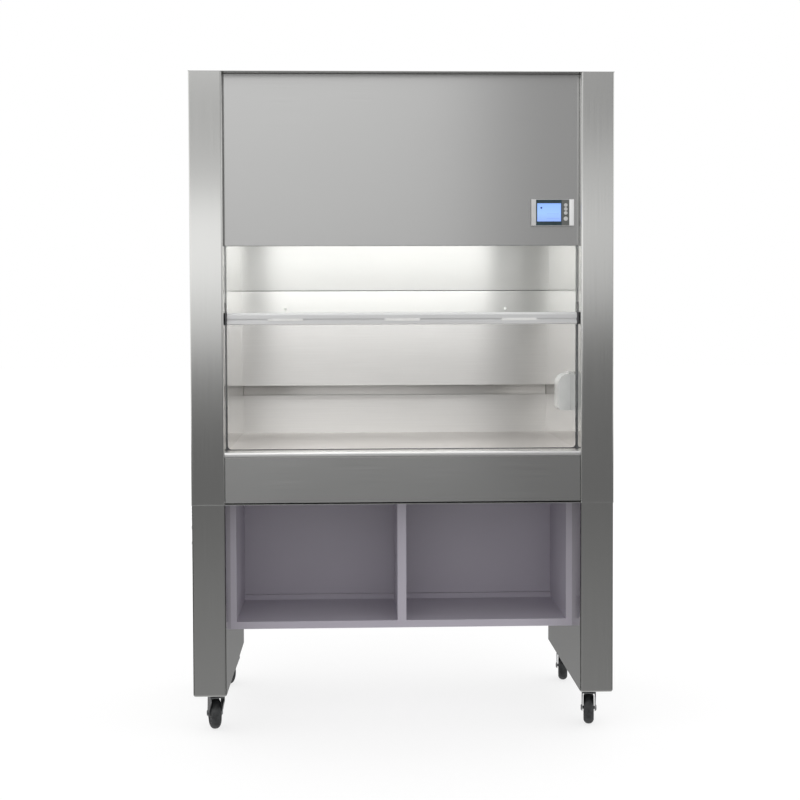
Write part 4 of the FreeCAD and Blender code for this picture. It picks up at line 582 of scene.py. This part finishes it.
def dressCastor(name):
    fit = castorFit
    body = name + "_castor"
    low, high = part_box(name + "_wheel")
    middle = (low + high) / 2
    pivot = Vector(joints[name + "_swivel"]["pos_m"])
    axle = Vector(joints[name + "_roll"]["axis"]).normalized()
    turn = axle.to_track_quat("Z", "Y").to_matrix().to_4x4()

    wheel = bmesh.new()
    addRing(wheel, Matrix.Translation(middle) @ turn, wheelProfile(fit))
    for face in wheel.faces:
        spread = face.calc_center_median() - middle
        flat = spread - axle * spread.dot(axle)
        face.material_index = 0 if flat.length > fit["treadInner"] else 1
    tread = newPiece(name + "_tread", wheel, [tyreRubber, wheelNylon], name + "_roller")
    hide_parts(name + "_wheel")

    nuts = bmesh.new()
    for side in (-1, 1):
        addBolt(nuts, middle + axle * side * fit["forkHalf"], axle * side, fit["axleNut"])
    newPiece(name + "_axle_nuts", nuts, [zincPlate], body)

    fixings = bmesh.new()
    for x in (-1, 1):
        for y in (-1, 1):
            addBolt(
                fixings, (pivot.x + x * fit["boltSpread"], pivot.y + y * fit["boltSpread"], fit["plateLow"]),
                (0, 0, -1), fit["plateBolt"],
            )
    pin = Matrix.Translation((pivot.x, pivot.y, 0))
    race, bottom, top = fit["raceRadius"], fit["raceLow"], fit["raceHigh"]
    seam, groove = (top + bottom) / 2, fit["raceGroove"]
    addRing(fixings, pin, [
        (race - fit["raceWall"], top), (race, top), (race + groove, seam + groove), (race, seam),
        (race + groove, seam - groove), (race, bottom), (race - fit["raceWall"], bottom),
    ])
    rivet, bore, top = fit["rivetRadius"], fit["rivetBore"], fit["rivetTop"]
    bottom = top - fit["rivetDrop"]
    addRing(fixings, pin, [
        (bore, top), (rivet, top), (rivet, top - fit["rivetEdge"]), (rivet * fit["rivetCrown"], bottom),
        (bore, bottom),
    ])
    newPiece(name + "_fixings", fixings, [zincPlate], "cabinet")


for corner in castorNames:
    dressCastor(corner)
print("castors dressed")

# Small fixings of the sheets: baffle thumbscrews, duct flange bolts and roof screws
sheetFixings = {
    "thumbscrew": {"sides": 24, "radius": 0.005, "crown": 0.9, "height": 0.003, "recess": 0.0008},
    "thumbRise": 1.322, "thumbSpread": 0.39,
    "flangeBolt": {"sides": 6, "radius": 0.006, "crown": 0.94, "height": 0.004, "recess": 0},
    "flangeCircle": 0.1385, "flangeCount": 8, "flangeSheet": 0.0015,
    "roofScrew": {"sides": 20, "radius": 0.0045, "crown": 0.75, "height": 0.0022, "recess": 0.0012},
    "roofInset": 0.03, "roofCount": (6, 4),
    "deflectorInset": 0.001, "deflectorPlace": 0.3485, "deflectorSheet": 0.0015, "deflectorDrop": 0.05,
    "deflectorRise": 0.03, "deflectorEdge": 0.0004,
}


def fixSheets():
    fit = sheetFixings
    low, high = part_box("middle_baffle")
    thumbs = bmesh.new()
    for side in (-1, 1):
        addBolt(thumbs, (side * fit["thumbSpread"], low.y, fit["thumbRise"]), (0, -1, 0), fit["thumbscrew"])
    newPiece("baffleThumbscrews", thumbs, [linerSteel], "cabinet")

    deflector = bmesh.new()
    addBlock(
        deflector,
        (low.x + fit["deflectorInset"], fit["deflectorPlace"], low.z - fit["deflectorDrop"]),
        (high.x - fit["deflectorInset"], fit["deflectorPlace"] + fit["deflectorSheet"],
         low.z + fit["deflectorRise"]),
        fit["deflectorEdge"],
    )
    newPiece("slotDeflector", deflector, [chamberSteel], "cabinet")

    low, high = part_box("duct_collar")
    middle = (low + high) / 2
    bolts = bmesh.new()
    for index in range(fit["flangeCount"]):
        turn = math.tau * (index + 0.5) / fit["flangeCount"]
        addBolt(bolts, (
            middle.x + fit["flangeCircle"] * math.cos(turn), middle.y + fit["flangeCircle"] * math.sin(turn),
            low.z + fit["flangeSheet"],
        ), (0, 0, 1), fit["flangeBolt"])
    newPiece("flangeBolts", bolts, [zincPlate], "cabinet")

    low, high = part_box("top_panel")
    screws = bmesh.new()
    across, along = fit["roofCount"]
    inset = fit["roofInset"]
    for column in range(across):
        for row in range(along):
            if 0 < column < across - 1 and 0 < row < along - 1:
                continue
            addBolt(screws, (
                low.x + inset + (high.x - low.x - inset * 2) * column / (across - 1),
                low.y + inset + (high.y - low.y - inset * 2) * row / (along - 1), high.z,
            ), (0, 0, 1), fit["roofScrew"])
    newPiece("roofScrews", screws, [zincPlate], "cabinet")


fixSheets()
print("sheet fixings ready")


# Studio: white floor and background, and a tent that only the polished metal mirrors

studio = {
    "floorSize": 60, "floorShadow": 0.3, "floorGlow": 1.06, "tentRadius": 40, "tentCentre": (0, 0, 1.32),
    "tentStrength": 1.6,
    # what the steel mirrors, by the height above the horizon in degrees: a bright room to the left
    # of the hood's middle, a dim one to the right, and white walls at both far sides
    "leftBands": (
        (-90, "#8c8c8c"), (-40, "#8a8a8a"), (-28, "#888888"), (-22, "#828282"), (-15, "#767676"),
        (-8, "#5e5e5e"), (-5.5, "#636363"), (-4, "#707070"),
        (-2.5, "#828282"), (-1.2, "#b6b6b6"), (0, "#cacaca"), (1, "#dcdcdc"), (2, "#eaeaea"),
        (4.9, "#e9e9e9"),
        (5.15, "#bcbcbc"), (7, "#b4b4b4"), (9.5, "#a8a8a8"), (11.5, "#c4c4c4"), (16, "#e4e4e4"),
        (90, "#f4f4f4"),
    ),
    "rightBands": (
        (-90, "#848484"), (-40, "#808080"), (-28, "#7c7c7c"), (-22, "#787878"), (-15, "#707070"),
        (-8, "#606060"), (-3, "#606060"), (-1.25, "#666666"),
        (-0.6, "#696969"), (0.07, "#8b8b8b"), (0.7, "#9e9e9e"), (2.05, "#acacac"), (3.2, "#b4b4b4"),
        (4.2, "#b9b9b9"), (5.2, "#afafaf"), (6.7, "#b2b2b2"), (7.6, "#9b9b9b"), (8.5, "#8a8a8a"),
        (12, "#8c8c8c"), (30, "#9c9c9c"), (90, "#cfcfcf"),
    ),
    "farBands": (
        (-90, "#d0d0d0"), (-30, "#8c8c8c"), (-6.6, "#646464"), (-4.6, "#dcdcdc"), (2, "#e2e2e2"),
        (10, "#dedede"), (20, "#bcbcbc"), (90, "#c8c8c8"),
    ),
    # how far the right bands take over, by degrees to the right of straight ahead
    "dimming": ((-3, "#000000"), (4.6, "#696969"), (6.2, "#cbcbcb"), (7.8, "#ffffff")),
    "farFrom": 50, "farTo": 75,
}


def whiteFloor():
    bpy.ops.mesh.primitive_plane_add(size=studio["floorSize"])
    floor = bpy.context.object
    floor.name = "studioFloor"
    material, tree, place = startMaterial("paintedFloor")
    path = addNode(tree, "ShaderNodeLightPath", {}, {})
    marks = addNode(tree, "ShaderNodeTexNoise", {}, {"Vector": place, "Scale": 0.8, "Detail": 2})
    pale = twoTones(tree, marks, "#c8c8c7", "#cccccb")
    paint = addNode(tree, "ShaderNodeBsdfPrincipled", {}, {
        "Base Color": pale, "Roughness": 0.9, "Specular IOR Level": 0,
    })
    shaded = addNode(tree, "ShaderNodeBsdfDiffuse", {}, {"Color": (1, 1, 1, 1)})
    plain = addNode(tree, "ShaderNodeEmission", {}, {"Color": (1, 1, 1, 1), "Strength": studio["floorGlow"]})
    seen = addNode(tree, "ShaderNodeMixShader", {}, {0: studio["floorShadow"], 1: plain, 2: shaded})
    floorMix = addNode(tree, "ShaderNodeMixShader", {}, {0: path.outputs["Is Camera Ray"], 1: paint, 2: seen})
    finishMaterial(tree, floorMix)
    material.cycles.emission_sampling = "NONE"
    floor.data.materials.append(material)
    floor.visible_glossy = False


def tentTones(tree, rise, name):
    return setRamp(addNode(tree, "ShaderNodeValToRGB", {}, {"Fac": rise}), [
        ((degrees + 90) / 180, tone) for degrees, tone in studio[name]
    ])


def studioTent():  # the room as the steel mirrors it
    bpy.ops.mesh.primitive_uv_sphere_add(segments=48, ring_count=24, radius=studio["tentRadius"])
    tent = bpy.context.object
    tent.name = "studioTent"
    tent.location = studio["tentCentre"]
    material, tree, place = startMaterial("tentCloth")
    aim = addNode(tree, "ShaderNodeVectorMath", {"operation": "NORMALIZE"}, {0: place})
    split = addNode(tree, "ShaderNodeSeparateXYZ", {}, {"Vector": aim})
    climb = addNode(tree, "ShaderNodeMath", {"operation": "ARCSINE"}, {0: split.outputs["Z"]})
    rise = addNode(tree, "ShaderNodeMapRange", {}, {
        "Value": climb, "From Min": -math.pi / 2, "From Max": math.pi / 2,
    })
    ahead = addNode(tree, "ShaderNodeMath", {"operation": "MULTIPLY"}, {0: split.outputs["Y"], 1: -1})
    bearing = addNode(tree, "ShaderNodeMath", {"operation": "ARCTAN2"}, {0: split.outputs["X"], 1: ahead})
    aside = addNode(tree, "ShaderNodeMath", {"operation": "ABSOLUTE"}, {0: bearing})
    turned = addNode(tree, "ShaderNodeMapRange", {}, {
        "Value": bearing, "From Min": -math.pi, "From Max": math.pi,
    })
    dim = setRamp(addNode(tree, "ShaderNodeValToRGB", {}, {"Fac": turned}), [
        ((degrees + 180) / 360, tone) for degrees, tone in studio["dimming"]
    ])
    far = addNode(tree, "ShaderNodeMapRange", {"interpolation_type": "SMOOTHSTEP"}, {
        "Value": aside, "From Min": math.radians(studio["farFrom"]),
        "From Max": math.radians(studio["farTo"]),
    })
    front = addNode(tree, "ShaderNodeMix", {"data_type": "RGBA"}, {
        0: dim, 6: tentTones(tree, rise, "leftBands"), 7: tentTones(tree, rise, "rightBands"),
    })
    room = addNode(tree, "ShaderNodeMix", {"data_type": "RGBA"}, {
        0: far, 6: front.outputs[2], 7: tentTones(tree, rise, "farBands"),
    })
    light = addNode(tree, "ShaderNodeEmission", {}, {
        "Color": room.outputs[2], "Strength": studio["tentStrength"],
    })
    finishMaterial(tree, light)
    material.cycles.emission_sampling = "NONE"
    tent.data.materials.append(material)
    tent.visible_camera = False
    tent.visible_diffuse = False
    tent.visible_transmission = False
    tent.visible_shadow = False


whiteFloor()
studioTent()

world = bpy.data.worlds.new("whiteRoom")
bpy.context.scene.world = world
world.use_nodes = True
world.node_tree.nodes.clear()
sky = addNode(world.node_tree, "ShaderNodeBackground", {}, {"Color": (1, 1, 1, 1), "Strength": 1})
addNode(world.node_tree, "ShaderNodeOutputWorld", {}, {"Surface": sky})


def softLight(name, size, place, target, watts):
    data = bpy.data.lights.new(name, "AREA")
    data.shape = "RECTANGLE"
    data.size, data.size_y = size
    data.energy = watts
    lamp = bpy.data.objects.new(name, data)
    bpy.context.scene.collection.objects.link(lamp)
    lamp.location = place
    lamp.rotation_euler = (Vector(target) - Vector(place)).to_track_quat("-Z", "Y").to_euler()
    return lamp


# The tube's light: a wide soft part down on the worktop, and a narrow one at the baffles
chamberLight = {
    "downMiddle": -0.03, "downLength": 1.04, "downWidth": 0.4, "downDrop": 0.006, "downBack": 0.1,
    "downWatts": 2.25,
    "backMiddle": -0.046, "backLength": 0.88, "backWidth": 0.05, "backDrop": 0.034, "backPlace": -0.285,
    "backTarget": (0.27, 1.44), "backWatts": 1.95,
}


def lightChamber():
    fit = chamberLight
    low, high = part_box("lamp_housing")
    x, y = fit["downMiddle"], (low.y + high.y) / 2 + fit["downBack"]
    softLight(
        "downLight", (fit["downLength"], fit["downWidth"]), (x, y, low.z - fit["downDrop"]), (x, y, 0),
        fit["downWatts"],
    )
    x = fit["backMiddle"]
    softLight(
        "backLight", (fit["backLength"], fit["backWidth"]), (x, fit["backPlace"], low.z - fit["backDrop"]),
        (x, *fit["backTarget"]), fit["backWatts"],
    )


lightChamber()
print("studio ready")

# Camera, fitted to the photograph's corners of the cabinet
cameraFit = {
    "place": (-0.163, -4.652, 1.298), "yaw": 2.01, "pitch": 1.96, "roll": -0.19,
    "focal": 1389.3, "pictureWidth": 800, "middle": (398.7, 363.2), "sensor": 36,
}
cameraData = bpy.data.cameras.new("camera")
camera = bpy.data.objects.new("camera", cameraData)
bpy.context.scene.collection.objects.link(camera)
cameraData.sensor_width = cameraFit["sensor"]
cameraData.lens = cameraFit["focal"] * cameraFit["sensor"] / cameraFit["pictureWidth"]
cameraData.shift_x = (cameraFit["pictureWidth"] / 2 - cameraFit["middle"][0]) / cameraFit["pictureWidth"]
cameraData.shift_y = (cameraFit["middle"][1] - cameraFit["pictureWidth"] / 2) / cameraFit["pictureWidth"]
cameraData.clip_end = 200
turn = Matrix.Rotation(math.radians(-cameraFit["yaw"]), 4, "Z") \
    @ Matrix.Rotation(math.radians(90 - cameraFit["pitch"]), 4, "X") \
    @ Matrix.Rotation(math.radians(cameraFit["roll"]), 4, "Z")
camera.matrix_world = Matrix.Translation(cameraFit["place"]) @ turn
bpy.context.scene.camera = camera
bpy.context.scene.view_settings.view_transform = "Standard"
